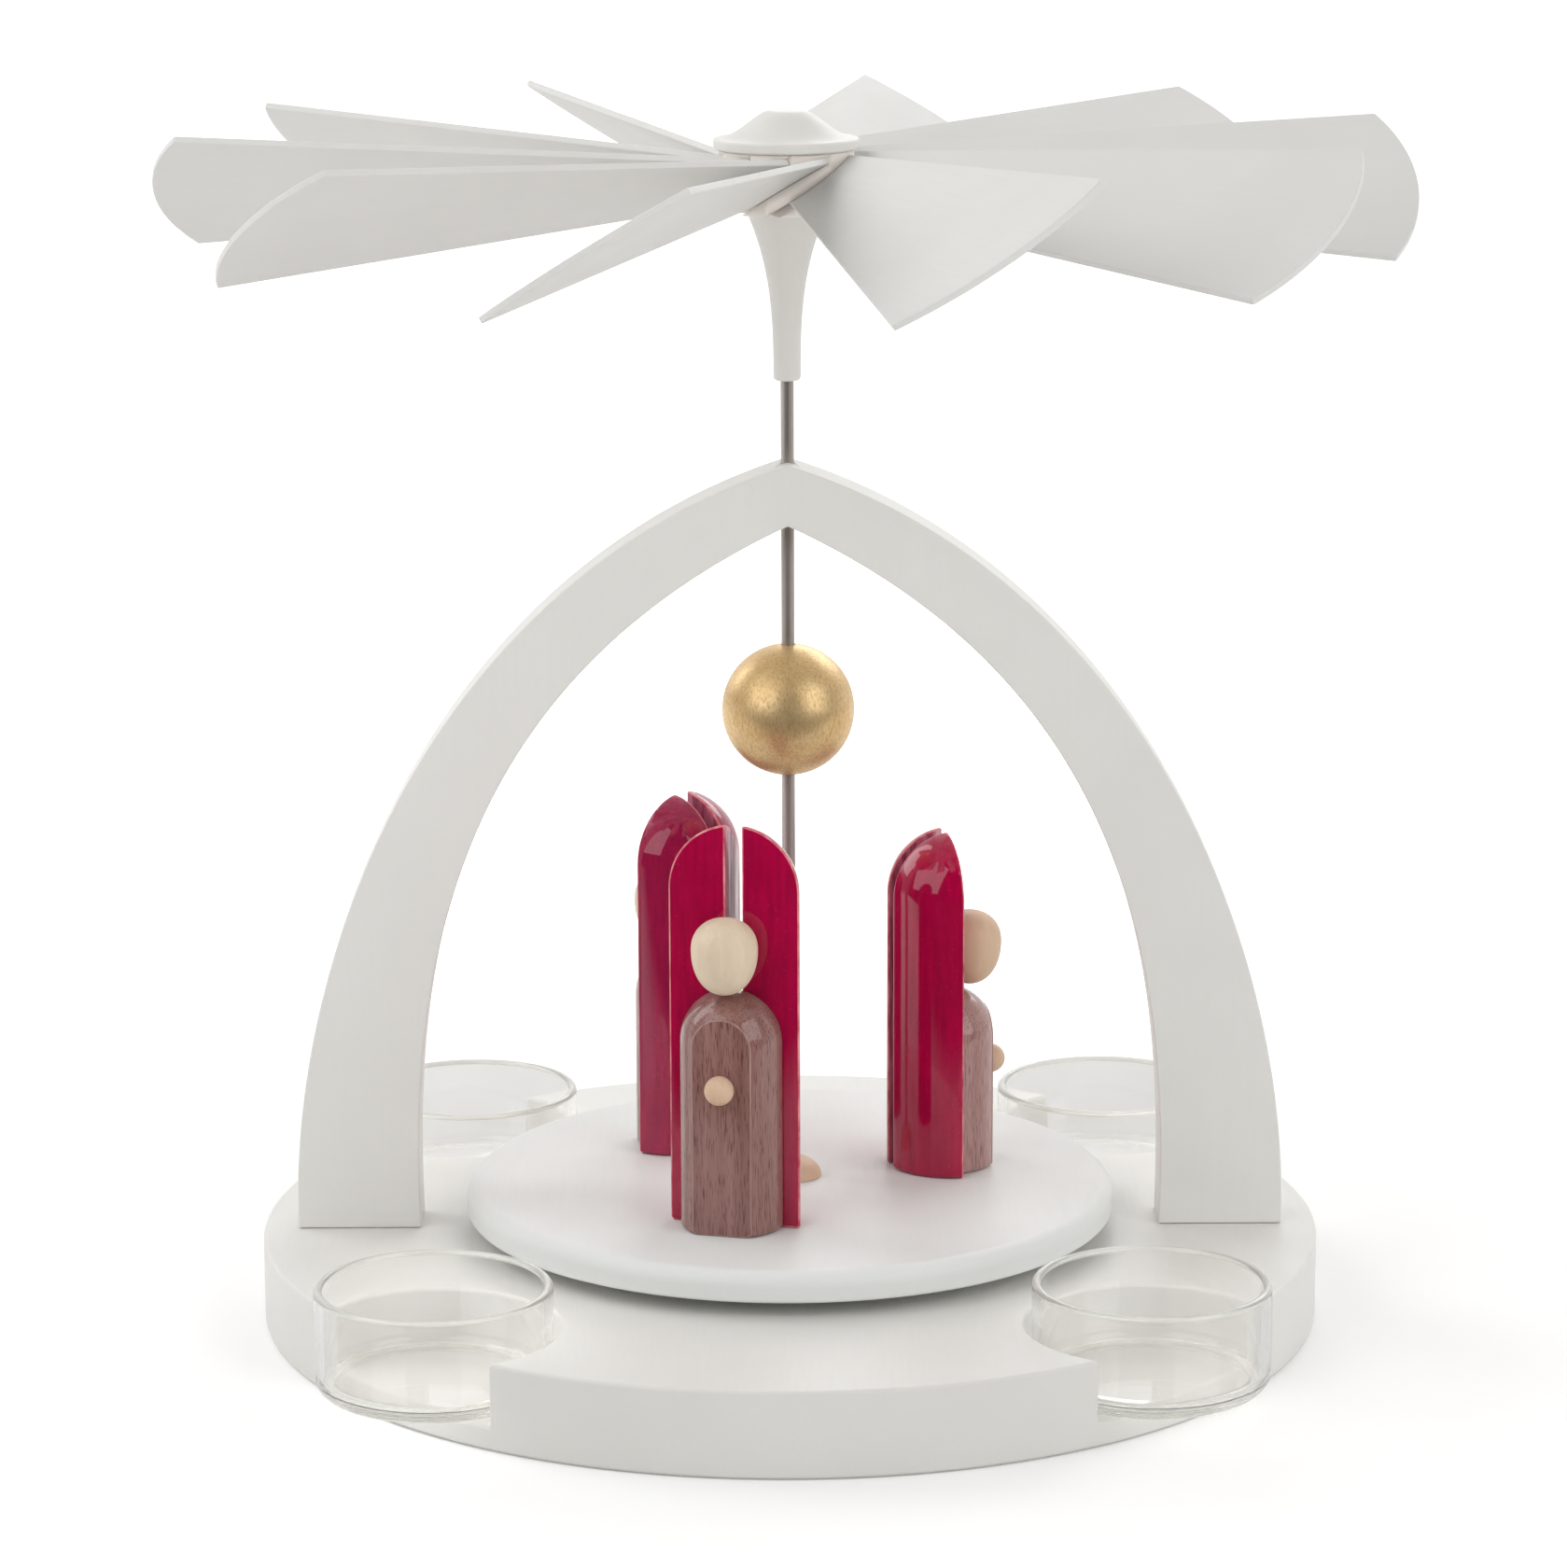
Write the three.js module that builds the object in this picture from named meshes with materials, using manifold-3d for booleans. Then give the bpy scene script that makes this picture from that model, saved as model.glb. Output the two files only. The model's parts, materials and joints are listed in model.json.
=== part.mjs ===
// Christmas pyramid: warm air from four tealights drives a fan, whose shaft carries a turntable
// with three angels under a pointed arch.
// Millimetres, +Z up, origin at the centre of the underside of the base plate.

import * as THREE from 'three';
import { mergeVertices } from 'three/addons/utils/BufferGeometryUtils.js';
import Module from 'manifold-3d';

// Fits between pieces
const RUNNING_CLEARANCE = 0.1; // a turning or sliding rod in its bore, on the radius
const PRESS_CLEARANCE = 0.1; // a rod, dowel or spigot fixed in its hole, on the radius
const GLUE_LINE = 0.1; // between two faces that are glued or that stand on each other
const HOLE_END_GAP = 0.5; // past the end of a dowel in a blind hole

// Shaft and its bearings
const SHAFT_RADIUS = 1.5;
const SHAFT_POINT_LENGTH = 2.6; // ground point at the lower end
const SHAFT_CHAMFER = 0.4; // at the upper end
const CUP_RADIUS = 5;
const CUP_HEIGHT = 8;
const CUP_BORE_DEPTH = 3.4; // straight part above the conical seat
const CUP_MOUTH_CHAMFER = 0.6;
const BUSH_RADIUS = 3;
const BUSH_LENGTH = 7;
const BUSH_CEILING = 3.6; // wood left between the bush and the ridge of the arch
const ARCH_RIDGE_CLEARANCE = 0.3; // round the shaft where it leaves the ridge

// Turntable
const TABLE_RADIUS = 74.4;
const TABLE_THICKNESS = 6.8;
const TABLE_TOP_ROUNDING = 3.4;
const TABLE_LOWER_ROUNDING = 0.8;
const TABLE_LIFT = 3.6; // running gap above the base plate
const BOSS_RADIUS = 7.3;
const BOSS_HEIGHT = 4.6;

// Tealight glasses
const GLASS_COUNT = 4;
const GLASS_FIRST_AZIMUTH = 45;
const GLASS_RADIUS = 26;
const GLASS_HEIGHT = 23.6;
const GLASS_WALL = 2;
const GLASS_FLOOR = 2.6;
const GLASS_OUTER_CORNER = 4;
const GLASS_INNER_CORNER = 2.4;
const GLASS_TO_TABLE = 9.6; // from the turntable's rim to a glass
const GLASS_SEAT_GAP = 0.2;

// Base plate
const BASE_HEIGHT = 19.5;
const BASE_RIM_MARGIN = 11.2; // rim beyond the ring of glass centres
const BASE_EDGE = 0.8; // eased edges
const POCKET_FLOOR = 5.4;
const POCKET_CLEARANCE = 1.6;

// Arch, sawn from one board: each side of a limb is one curve from its foot to the apex,
// shaped by a handle that rises from the foot and one that falls away from the apex
const ARCH_DEPTH = 13.4;
const ARCH_RISE = 176.8;
const ARCH_APEX_THICKNESS = 13.8;
const ARCH_TO_TABLE = 10.35; // from the turntable's rim to a foot
const ARCH_FOOT_WIDTH = 28.35;
const OUTER_FOOT_LEAN = 1.4;
const OUTER_FOOT_HANDLE = 64;
const OUTER_APEX_REACH = 80.2;
const OUTER_APEX_DROP = 25.2;
const INNER_FOOT_LEAN = 2.45;
const INNER_FOOT_HANDLE = 64.8;
const INNER_APEX_REACH = 73.3;
const INNER_APEX_DROP = 34.4;
const DOWELS_PER_FOOT = 2;
const DOWEL_RADIUS = 2.5;
const DOWEL_PITCH = 13;
const DOWEL_IN_BASE = 8;
const DOWEL_IN_ARCH = 10;

// Gold ball
const BALL_RADIUS = 15;
const BALL_BELOW_ARCH = 27.9; // from the arch's inner apex down to the ball
const BALL_BORE_FLAT = 0.2; // flat ring round each mouth of the bore

// Fan: a trumpet neck, a hub with slanted saw slots, a blade in each slot, and a cap
const NECK_ABOVE_ARCH = 18.2;
const NECK_LENGTH = 37.9;
const NECK_TIP_RADIUS = 3.1;
const NECK_TIP_ROUNDING = 0.9;
const NECK_TOP_RADIUS = 9;
const NECK_FLARE = 2.8; // power of the trumpet's curve
const SPIGOT_RADIUS = 4.5;
const SPIGOT_LENGTH = 3;
const HUB_RADIUS = 15;
const HUB_HEIGHT = 13.6;
const HUB_CORE_RADIUS = 8; // bottom of the saw slots
const SHAFT_IN_HUB = 8;
const BLADE_COUNT = 10;
const BLADE_PITCH = 31.5;
const BLADE_THICKNESS = 1.5;
const BLADE_TIP_RADIUS = 140;
const BLADE_CORNER_RADIUS = 132.7;
const BLADE_TIP_WIDTH = 52;
const BLADE_PLANE_HEIGHT = 4.8; // where the blades' plane meets the axis, above the hub's underside
const ROOT_TOP_MARGIN = 1.5; // hub above a blade's leading root corner
const ROOT_BOTTOM_MARGIN = 3.2; // hub below a blade's trailing root corner
const SLOT_CLEARANCE = 0.15;
const CAP_BRIM_RADIUS = 16.2;
const CAP_BRIM_THICKNESS = 2.4;
const CAP_BRIM_EDGE = 0.6;
const CAP_RISE = 6; // from the brim to the top
const CAP_TOP_RADIUS = 3.7; // flat on top
const CAP_SHOULDER = 0.85; // power that draws the shoulder in

// Angels, in three heights, each glued on by hand in its own place: the wings are quarters of a
// turned column with a half-round top, and the body is half of a slimmer one, with a flat front
const TALL_BODY_HEIGHT = 54.5;
const TALL_HAND_HEIGHT = 34;
const TALL_PLACE_RADIUS = 42;
const TALL_PLACE_AZIMUTH = 252;
const TALL_TURN = 3.3; // from facing straight out
const TALL_BODY_ASIDE = -0.5; // of the wings' middle, to the figure's left
const SHORT_BODY_HEIGHT = 42.3;
const SHORT_HAND_HEIGHT = 24;
const SHORT_PLACE_RADIUS = 39.1;
const SHORT_PLACE_AZIMUTH = 15.2;
const SHORT_TURN = 0.8;
const SHORT_BODY_ASIDE = 0;
const MIDDLE_BODY_HEIGHT = 47.2;
const MIDDLE_HAND_HEIGHT = 28.5;
const MIDDLE_PLACE_RADIUS = 39.5;
const MIDDLE_PLACE_AZIMUTH = 131.6;
const MIDDLE_TURN = 5.1;
const MIDDLE_BODY_ASIDE = -0.9;
const WING_RADIUS = 15.1;
const WING_ABOVE_BODY = 37.2;
const WING_GAP = 3.8; // saw kerf between the wings
const WING_FOOT_EDGE = 0.6;
const BODY_RADIUS = 11.6;
const BODY_DEPTH = 9.7; // from the flat back to the flat front
const BODY_FOOT_EDGE = 0.6;
const HEAD_RADIUS = 7.4;
const HEAD_CROWN = 7; // above the widest part
const HEAD_CHIN = 10.3; // below it
const HEAD_FULLNESS = 2.15; // power of the egg's curve, 2 is an ellipse
const HEAD_ABOVE_BODY = 0.1;
const HEAD_BACK = 6; // from the egg's axis to the flat that is glued to the wings
const HAND_RADIUS = 3.3;
const HAND_PROUD = 4.9;
const FOOT_DOWEL_RADIUS = 2;
const FOOT_DOWEL_IN_TABLE = 3.5;
const FOOT_DOWEL_IN_BODY = 8;

// Facets and working allowances
const CUT_MARGIN = 1; // by which a cutter runs past the face it opens
const WELD_TOLERANCE = 1e-5;
const BASE_SIDES = 72;
const TABLE_SIDES = 60;
const POCKET_SIDES = 32;
const GLASS_SIDES = 28;
const TURNED_SIDES = 28;
const ROD_SIDES = 20;
const DOWEL_SIDES = 10;
const HAND_SIDES = 14;
const DOME_STEPS = 5;
const CORNER_STEPS = 2;
const RIM_STEPS = 3;
const ARCH_STEPS = 16;
const NECK_STEPS = 7;
const BALL_STEPS = 10;
const CAP_STEPS = 8;
const HEAD_STEPS = 4;
const BLADE_TIP_STEPS = 8;

// Levels and radii that follow from the sizes above
const TABLE_BOTTOM = BASE_HEIGHT + TABLE_LIFT;
const TABLE_TOP = TABLE_BOTTOM + TABLE_THICKNESS;
const GLASS_RING_RADIUS = TABLE_RADIUS + GLASS_TO_TABLE + GLASS_RADIUS;
const BASE_RADIUS = GLASS_RING_RADIUS + BASE_RIM_MARGIN;
const POCKET_RADIUS = GLASS_RADIUS + POCKET_CLEARANCE;
const ARCH_INNER_FOOT = TABLE_RADIUS + ARCH_TO_TABLE;
const ARCH_OUTER_FOOT = ARCH_INNER_FOOT + ARCH_FOOT_WIDTH;
const ARCH_FOOT = BASE_HEIGHT + GLUE_LINE;
const ARCH_RIDGE = ARCH_FOOT + ARCH_RISE;
const ARCH_INNER_RISE = ARCH_RISE - ARCH_APEX_THICKNESS;
const ARCH_INNER_APEX = ARCH_FOOT + ARCH_INNER_RISE;
const BUSH_TOP = ARCH_RIDGE - BUSH_CEILING;
const BALL_CENTRE = ARCH_INNER_APEX - BALL_BELOW_ARCH - BALL_RADIUS;
const NECK_BOTTOM = ARCH_RIDGE + NECK_ABOVE_ARCH;
const HUB_BOTTOM = NECK_BOTTOM + NECK_LENGTH;
const HUB_TOP = HUB_BOTTOM + HUB_HEIGHT;
const SHAFT_TOP = HUB_BOTTOM + SHAFT_IN_HUB;
const BLADE_PLANE = HUB_BOTTOM + BLADE_PLANE_HEIGHT;
const RUNNING_BORE = SHAFT_RADIUS + RUNNING_CLEARANCE;
const PRESS_BORE = SHAFT_RADIUS + PRESS_CLEARANCE;
const WING_FRONT = -WING_GAP / 2;
const BODY_BACK = WING_FRONT + GLUE_LINE;
const ANGELS = [
  {
    bodyHeight: TALL_BODY_HEIGHT,
    handHeight: TALL_HAND_HEIGHT,
    radius: TALL_PLACE_RADIUS,
    azimuth: TALL_PLACE_AZIMUTH,
    turn: TALL_TURN,
    aside: TALL_BODY_ASIDE,
  },
  {
    bodyHeight: SHORT_BODY_HEIGHT,
    handHeight: SHORT_HAND_HEIGHT,
    radius: SHORT_PLACE_RADIUS,
    azimuth: SHORT_PLACE_AZIMUTH,
    turn: SHORT_TURN,
    aside: SHORT_BODY_ASIDE,
  },
  {
    bodyHeight: MIDDLE_BODY_HEIGHT,
    handHeight: MIDDLE_HAND_HEIGHT,
    radius: MIDDLE_PLACE_RADIUS,
    azimuth: MIDDLE_PLACE_AZIMUTH,
    turn: MIDDLE_TURN,
    aside: MIDDLE_BODY_ASIDE,
  },
];
const PITCH = THREE.MathUtils.degToRad(BLADE_PITCH);

const wasm = await Module();
wasm.setup();

// Closed, welded copy of a geometry, without triangles that have shrunk to a line on an axis.
function weld(geometry) {
  const plain = geometry.clone();
  plain.deleteAttribute('normal');
  plain.deleteAttribute('uv');
  const welded = mergeVertices(plain, WELD_TOLERANCE);
  const index = welded.index.array;
  const kept = [];
  for (let i = 0; i < index.length; i += 3) {
    const [a, b, c] = [index[i], index[i + 1], index[i + 2]];
    if (a !== b && b !== c && c !== a) {
      kept.push(a, b, c);
    }
  }
  welded.setIndex(kept);
  return welded;
}

function toSolid(geometry) {
  const welded = weld(geometry);
  const mesh = new wasm.Mesh({
    numProp: 3,
    vertProperties: Float32Array.from(welded.attributes.position.array),
    triVerts: Uint32Array.from(welded.index.array),
  });
  return new wasm.Manifold(mesh);
}

function toGeometry(solid) {
  const mesh = solid.getMesh();
  const geometry = new THREE.BufferGeometry();
  geometry.setAttribute('position', new THREE.BufferAttribute(mesh.vertProperties, 3));
  geometry.setIndex(new THREE.BufferAttribute(mesh.triVerts, 1));
  return geometry;
}

function cut(geometry, tools) {
  let solid = toSolid(geometry);
  for (const tool of tools) {
    solid = solid.subtract(toSolid(tool));
  }
  return toGeometry(solid);
}

function common(geometry, keep) {
  return toGeometry(toSolid(geometry).intersect(toSolid(keep)));
}

// Solid of revolution about +Z from [radius, height] points that run up its outside.
function revolve(profile, sides) {
  const points = profile.map(([radius, height]) => new THREE.Vector2(radius, height));
  const lathe = new THREE.LatheGeometry(points, sides);
  lathe.rotateX(Math.PI / 2);
  return weld(lathe);
}

function rod(radius, bottom, top, sides) {
  return revolve([[0, bottom], [radius, bottom], [radius, top], [0, top]], sides);
}

// Cutter for a round hole: its flats lie on the true circle, so a round peg still fits.
function drill(radius, bottom, top, sides) {
  return rod(radius / Math.cos(Math.PI / sides), bottom, top, sides);
}

// Tube whose bore has its flats on the true circle.
function tube(radius, bore, bottom, top, sides) {
  const wall = bore / Math.cos(Math.PI / sides);
  return revolve([[wall, bottom], [radius, bottom], [radius, top], [wall, top], [wall, bottom]], sides);
}

function ball(radius, sides, steps) {
  return revolve(arc([0, 0], [radius, radius], -90, 90, 2 * steps), sides);
}

function block(low, high) {
  const size = [0, 1, 2].map((i) => high[i] - low[i]);
  const middle = [0, 1, 2].map((i) => (high[i] + low[i]) / 2);
  return new THREE.BoxGeometry(...size).translate(...middle);
}

// Points of an elliptical arc round [centreRadius, centreHeight], from one angle to another.
function arc(centre, radii, from, to, steps) {
  return Array.from({ length: steps + 1 }, (_, i) => {
    const angle = THREE.MathUtils.degToRad(from + ((to - from) * i) / steps);
    return [centre[0] + radii[0] * Math.cos(angle), centre[1] + radii[1] * Math.sin(angle)];
  });
}

function mesh(name, geometry, finish) {
  const result = new THREE.Mesh(geometry, new THREE.MeshStandardMaterial(finish));
  result.name = name;
  return result;
}

function place(object, radius, azimuth, height) {
  const angle = THREE.MathUtils.degToRad(azimuth);
  object.position.set(radius * Math.cos(angle), radius * Math.sin(angle), height);
  return object;
}

// Finishes
const WHITE_LACQUER = { color: 0xdddcd6, roughness: 0.45, metalness: 0 };
const RED_LACQUER = { color: 0x9b0030, roughness: 0.2, metalness: 0 };
const STAINED_WOOD = { color: 0x7d5f5c, roughness: 0.35, metalness: 0 };
const PALE_WOOD = { color: 0xdec8a5, roughness: 0.55, metalness: 0 };
const GOLD = { color: 0xb08d3f, roughness: 0.4, metalness: 0.9 };
const STEEL = { color: 0x8a8681, roughness: 0.3, metalness: 1 };
const BRASS = { color: 0xb59a52, roughness: 0.35, metalness: 1 };
const CLEAR_GLASS = { color: 0xf4f7f6, roughness: 0.03, metalness: 0, transparent: true, opacity: 0.3 };

// Places of the dowels in both feet of the arch, along X
function dowelPlaces() {
  const footCentre = ARCH_INNER_FOOT + ARCH_FOOT_WIDTH / 2;
  const places = [];
  for (const side of [-1, 1]) {
    for (let i = 0; i < DOWELS_PER_FOOT; i += 1) {
      places.push(side * (footCentre + (i - (DOWELS_PER_FOOT - 1) / 2) * DOWEL_PITCH));
    }
  }
  return places;
}

function glassAzimuth(i) {
  return GLASS_FIRST_AZIMUTH + (360 / GLASS_COUNT) * i;
}

function moved(geometry, radius, azimuth) {
  const angle = THREE.MathUtils.degToRad(azimuth);
  return geometry.translate(radius * Math.cos(angle), radius * Math.sin(angle), 0);
}

// Base plate: a disc with eased edges, pockets that break through its rim, and blind holes
function basePlate() {
  const disc = revolve([
    [0, 0],
    [BASE_RADIUS - BASE_EDGE, 0],
    [BASE_RADIUS, BASE_EDGE],
    [BASE_RADIUS, BASE_HEIGHT - BASE_EDGE],
    [BASE_RADIUS - BASE_EDGE, BASE_HEIGHT],
    [0, BASE_HEIGHT],
  ], BASE_SIDES);
  const above = BASE_HEIGHT + CUT_MARGIN;
  const cuts = [];
  for (let i = 0; i < GLASS_COUNT; i += 1) {
    const pocket = drill(POCKET_RADIUS, POCKET_FLOOR, above, POCKET_SIDES);
    cuts.push(moved(pocket, GLASS_RING_RADIUS, glassAzimuth(i)));
  }
  for (const x of dowelPlaces()) {
    const bottom = BASE_HEIGHT - DOWEL_IN_BASE - HOLE_END_GAP;
    const hole = drill(DOWEL_RADIUS + PRESS_CLEARANCE, bottom, above, DOWEL_SIDES);
    cuts.push(hole.translate(x, 0, 0));
  }
  const cupSeat = BASE_HEIGHT - CUP_HEIGHT - GLUE_LINE;
  cuts.push(drill(CUP_RADIUS + PRESS_CLEARANCE, cupSeat, above, ROD_SIDES));
  return cut(disc, cuts);
}

// Arch: pointed, with the bush's counterbore and the dowel holes in its feet
function arch() {
  const outline = new THREE.Shape();
  const outer = (side) => [
    [side * (ARCH_OUTER_FOOT + OUTER_FOOT_LEAN), OUTER_FOOT_HANDLE],
    [side * OUTER_APEX_REACH, ARCH_RISE - OUTER_APEX_DROP],
  ];
  const inner = (side) => [
    [side * (ARCH_INNER_FOOT + INNER_FOOT_LEAN), INNER_FOOT_HANDLE],
    [side * INNER_APEX_REACH, ARCH_INNER_RISE - INNER_APEX_DROP],
  ];
  const rise = ([low, high], end) => outline.bezierCurveTo(...low, ...high, ...end);
  const fall = ([low, high], end) => outline.bezierCurveTo(...high, ...low, ...end);
  outline.moveTo(ARCH_OUTER_FOOT, 0);
  rise(outer(1), [0, ARCH_RISE]);
  fall(outer(-1), [-ARCH_OUTER_FOOT, 0]);
  outline.lineTo(-ARCH_INNER_FOOT, 0);
  rise(inner(-1), [0, ARCH_INNER_RISE]);
  fall(inner(1), [ARCH_INNER_FOOT, 0]);
  outline.closePath();
  const board = new THREE.ExtrudeGeometry(outline, {
    depth: ARCH_DEPTH,
    bevelEnabled: false,
    curveSegments: ARCH_STEPS,
  });
  board.rotateX(Math.PI / 2);
  board.translate(0, ARCH_DEPTH / 2, ARCH_FOOT);
  const below = ARCH_INNER_APEX - ARCH_DEPTH;
  const cuts = [
    drill(SHAFT_RADIUS + ARCH_RIDGE_CLEARANCE, below, ARCH_RIDGE + CUT_MARGIN, ROD_SIDES),
    drill(BUSH_RADIUS + PRESS_CLEARANCE, below, BUSH_TOP + GLUE_LINE, ROD_SIDES),
  ];
  for (const x of dowelPlaces()) {
    const top = BASE_HEIGHT + DOWEL_IN_ARCH + HOLE_END_GAP;
    const hole = drill(DOWEL_RADIUS + PRESS_CLEARANCE, ARCH_FOOT - CUT_MARGIN, top, DOWEL_SIDES);
    cuts.push(hole.translate(x, 0, 0));
  }
  return cut(board, cuts);
}

// Bearing cup: a straight bore over a conical seat for the shaft's point
function bearingCup() {
  const bottom = BASE_HEIGHT - CUP_HEIGHT;
  const seatTop = BASE_HEIGHT - CUP_BORE_DEPTH;
  const bore = RUNNING_BORE / Math.cos(Math.PI / ROD_SIDES);
  return revolve([
    [0, bottom],
    [CUP_RADIUS, bottom],
    [CUP_RADIUS, BASE_HEIGHT],
    [bore + CUP_MOUTH_CHAMFER, BASE_HEIGHT],
    [bore, BASE_HEIGHT - CUP_MOUTH_CHAMFER],
    [bore, seatTop],
    [0, seatTop - SHAFT_POINT_LENGTH],
  ], ROD_SIDES);
}

function shaft() {
  const shoulder = BASE_HEIGHT - CUP_BORE_DEPTH + RUNNING_CLEARANCE;
  return revolve([
    [0, shoulder - SHAFT_POINT_LENGTH],
    [SHAFT_RADIUS, shoulder],
    [SHAFT_RADIUS, SHAFT_TOP - SHAFT_CHAMFER],
    [SHAFT_RADIUS - SHAFT_CHAMFER, SHAFT_TOP],
    [0, SHAFT_TOP],
  ], ROD_SIDES);
}

// Turntable: round over the top of its rim, bored for the shaft and for the figures' dowels
function turntable() {
  const upper = TABLE_TOP_ROUNDING;
  const lower = TABLE_LOWER_ROUNDING;
  const disc = revolve([
    [0, TABLE_BOTTOM],
    ...arc([TABLE_RADIUS - lower, TABLE_BOTTOM + lower], [lower, lower], -90, 0, CORNER_STEPS),
    ...arc([TABLE_RADIUS - upper, TABLE_TOP - upper], [upper, upper], 0, 90, RIM_STEPS),
    [0, TABLE_TOP],
  ], TABLE_SIDES);
  const above = TABLE_TOP + CUT_MARGIN;
  const cuts = [drill(PRESS_BORE, TABLE_BOTTOM - CUT_MARGIN, above, ROD_SIDES)];
  const bottom = TABLE_TOP - FOOT_DOWEL_IN_TABLE - HOLE_END_GAP;
  for (const { radius, azimuth, turn, aside } of ANGELS) {
    const hole = drill(FOOT_DOWEL_RADIUS + PRESS_CLEARANCE, bottom, above, DOWEL_SIDES);
    hole.translate(BODY_BACK + BODY_DEPTH / 2, aside, 0);
    hole.rotateZ(THREE.MathUtils.degToRad(azimuth + turn));
    cuts.push(moved(hole, radius, azimuth));
  }
  return cut(disc, cuts);
}

// Boss: a low dome round the shaft
function boss() {
  const bore = PRESS_BORE / Math.cos(Math.PI / ROD_SIDES);
  const lift = TABLE_TOP + GLUE_LINE;
  const mouth = THREE.MathUtils.radToDeg(Math.acos(bore / BOSS_RADIUS));
  return revolve([
    [bore, lift],
    ...arc([0, lift], [BOSS_RADIUS, BOSS_HEIGHT], 0, mouth, DOME_STEPS),
    [bore, lift],
  ], TURNED_SIDES);
}

function goldBall() {
  const bore = PRESS_BORE / Math.cos(Math.PI / ROD_SIDES);
  const mouth = THREE.MathUtils.radToDeg(Math.acos((bore + BALL_BORE_FLAT) / BALL_RADIUS));
  const reach = BALL_RADIUS * Math.sin(THREE.MathUtils.degToRad(mouth));
  return revolve([
    [bore, BALL_CENTRE - reach],
    ...arc([0, BALL_CENTRE], [BALL_RADIUS, BALL_RADIUS], -mouth, mouth, BALL_STEPS),
    [bore, BALL_CENTRE + reach],
    [bore, BALL_CENTRE - reach],
  ], ROD_SIDES);
}

// Neck: a trumpet that flares up to the hub, with a spigot in the hub's underside
function fanNeck() {
  const bore = RUNNING_BORE / Math.cos(Math.PI / ROD_SIDES);
  const tip = NECK_BOTTOM + NECK_TIP_ROUNDING;
  const flare = Array.from({ length: NECK_STEPS + 1 }, (_, i) => {
    const share = i / NECK_STEPS;
    const radius = NECK_TIP_RADIUS + (NECK_TOP_RADIUS - NECK_TIP_RADIUS) * share ** NECK_FLARE;
    return [radius, tip + (HUB_BOTTOM - GLUE_LINE - tip) * share];
  });
  const round = [NECK_TIP_ROUNDING, NECK_TIP_ROUNDING];
  const tipArc = arc([NECK_TIP_RADIUS - NECK_TIP_ROUNDING, tip], round, -90, 0, CORNER_STEPS);
  const spigotTop = HUB_BOTTOM + SPIGOT_LENGTH;
  return revolve([
    [bore, NECK_BOTTOM],
    ...tipArc.slice(0, -1),
    ...flare,
    [SPIGOT_RADIUS, HUB_BOTTOM - GLUE_LINE],
    [SPIGOT_RADIUS, spigotTop],
    [bore, spigotTop],
    [bore, NECK_BOTTOM],
  ], ROD_SIDES);
}

// A flat piece in a blade's plane: drawn along its radius, pitched with its leading edge up
function pitched(geometry, azimuth) {
  geometry.rotateX(PITCH);
  geometry.rotateZ(THREE.MathUtils.degToRad(azimuth));
  return geometry.translate(0, 0, BLADE_PLANE);
}

function bladeAzimuth(i) {
  return (360 / BLADE_COUNT) * i;
}

// Hub: bored for the shaft, with a socket at each end and a slanted saw slot for each blade
function fanHub() {
  const disc = rod(HUB_RADIUS, HUB_BOTTOM, HUB_TOP, TURNED_SIDES);
  const socket = SPIGOT_RADIUS + PRESS_CLEARANCE;
  const depth = SPIGOT_LENGTH + GLUE_LINE;
  const cuts = [
    drill(RUNNING_BORE, HUB_BOTTOM - CUT_MARGIN, HUB_TOP + CUT_MARGIN, ROD_SIDES),
    drill(socket, HUB_BOTTOM - CUT_MARGIN, HUB_BOTTOM + depth, ROD_SIDES),
    drill(socket, HUB_TOP - depth, HUB_TOP + CUT_MARGIN, ROD_SIDES),
  ];
  const reach = HUB_RADIUS + HUB_HEIGHT / Math.sin(PITCH);
  const half = BLADE_THICKNESS / 2 + SLOT_CLEARANCE;
  for (let i = 0; i < BLADE_COUNT; i += 1) {
    const slot = block([HUB_CORE_RADIUS, -reach, -half], [reach, reach, half]);
    cuts.push(pitched(slot, bladeAzimuth(i)));
  }
  return cut(disc, cuts);
}

// Blade: a flat board that widens from its root in the slot to a round tip
function fanBlade(azimuth) {
  const root = HUB_CORE_RADIUS + SLOT_CLEARANCE;
  const leading = (HUB_HEIGHT - ROOT_TOP_MARGIN - BLADE_PLANE_HEIGHT) / Math.sin(PITCH);
  const trailing = (BLADE_PLANE_HEIGHT - ROOT_BOTTOM_MARGIN) / Math.sin(PITCH);
  const half = BLADE_TIP_WIDTH / 2;
  const crown = BLADE_TIP_RADIUS - BLADE_CORNER_RADIUS;
  const tipArcRadius = (half ** 2 + crown ** 2) / (2 * crown);
  const tipArcAngle = Math.asin(half / tipArcRadius);
  const outline = new THREE.Shape();
  outline.moveTo(root, -trailing);
  outline.lineTo(BLADE_CORNER_RADIUS, -half);
  outline.absarc(BLADE_TIP_RADIUS - tipArcRadius, 0, tipArcRadius, -tipArcAngle, tipArcAngle, false);
  outline.lineTo(root, leading);
  outline.closePath();
  const board = new THREE.ExtrudeGeometry(outline, {
    depth: BLADE_THICKNESS,
    bevelEnabled: false,
    curveSegments: BLADE_TIP_STEPS,
  });
  board.translate(0, 0, -BLADE_THICKNESS / 2);
  return weld(pitched(board, azimuth));
}

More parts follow.
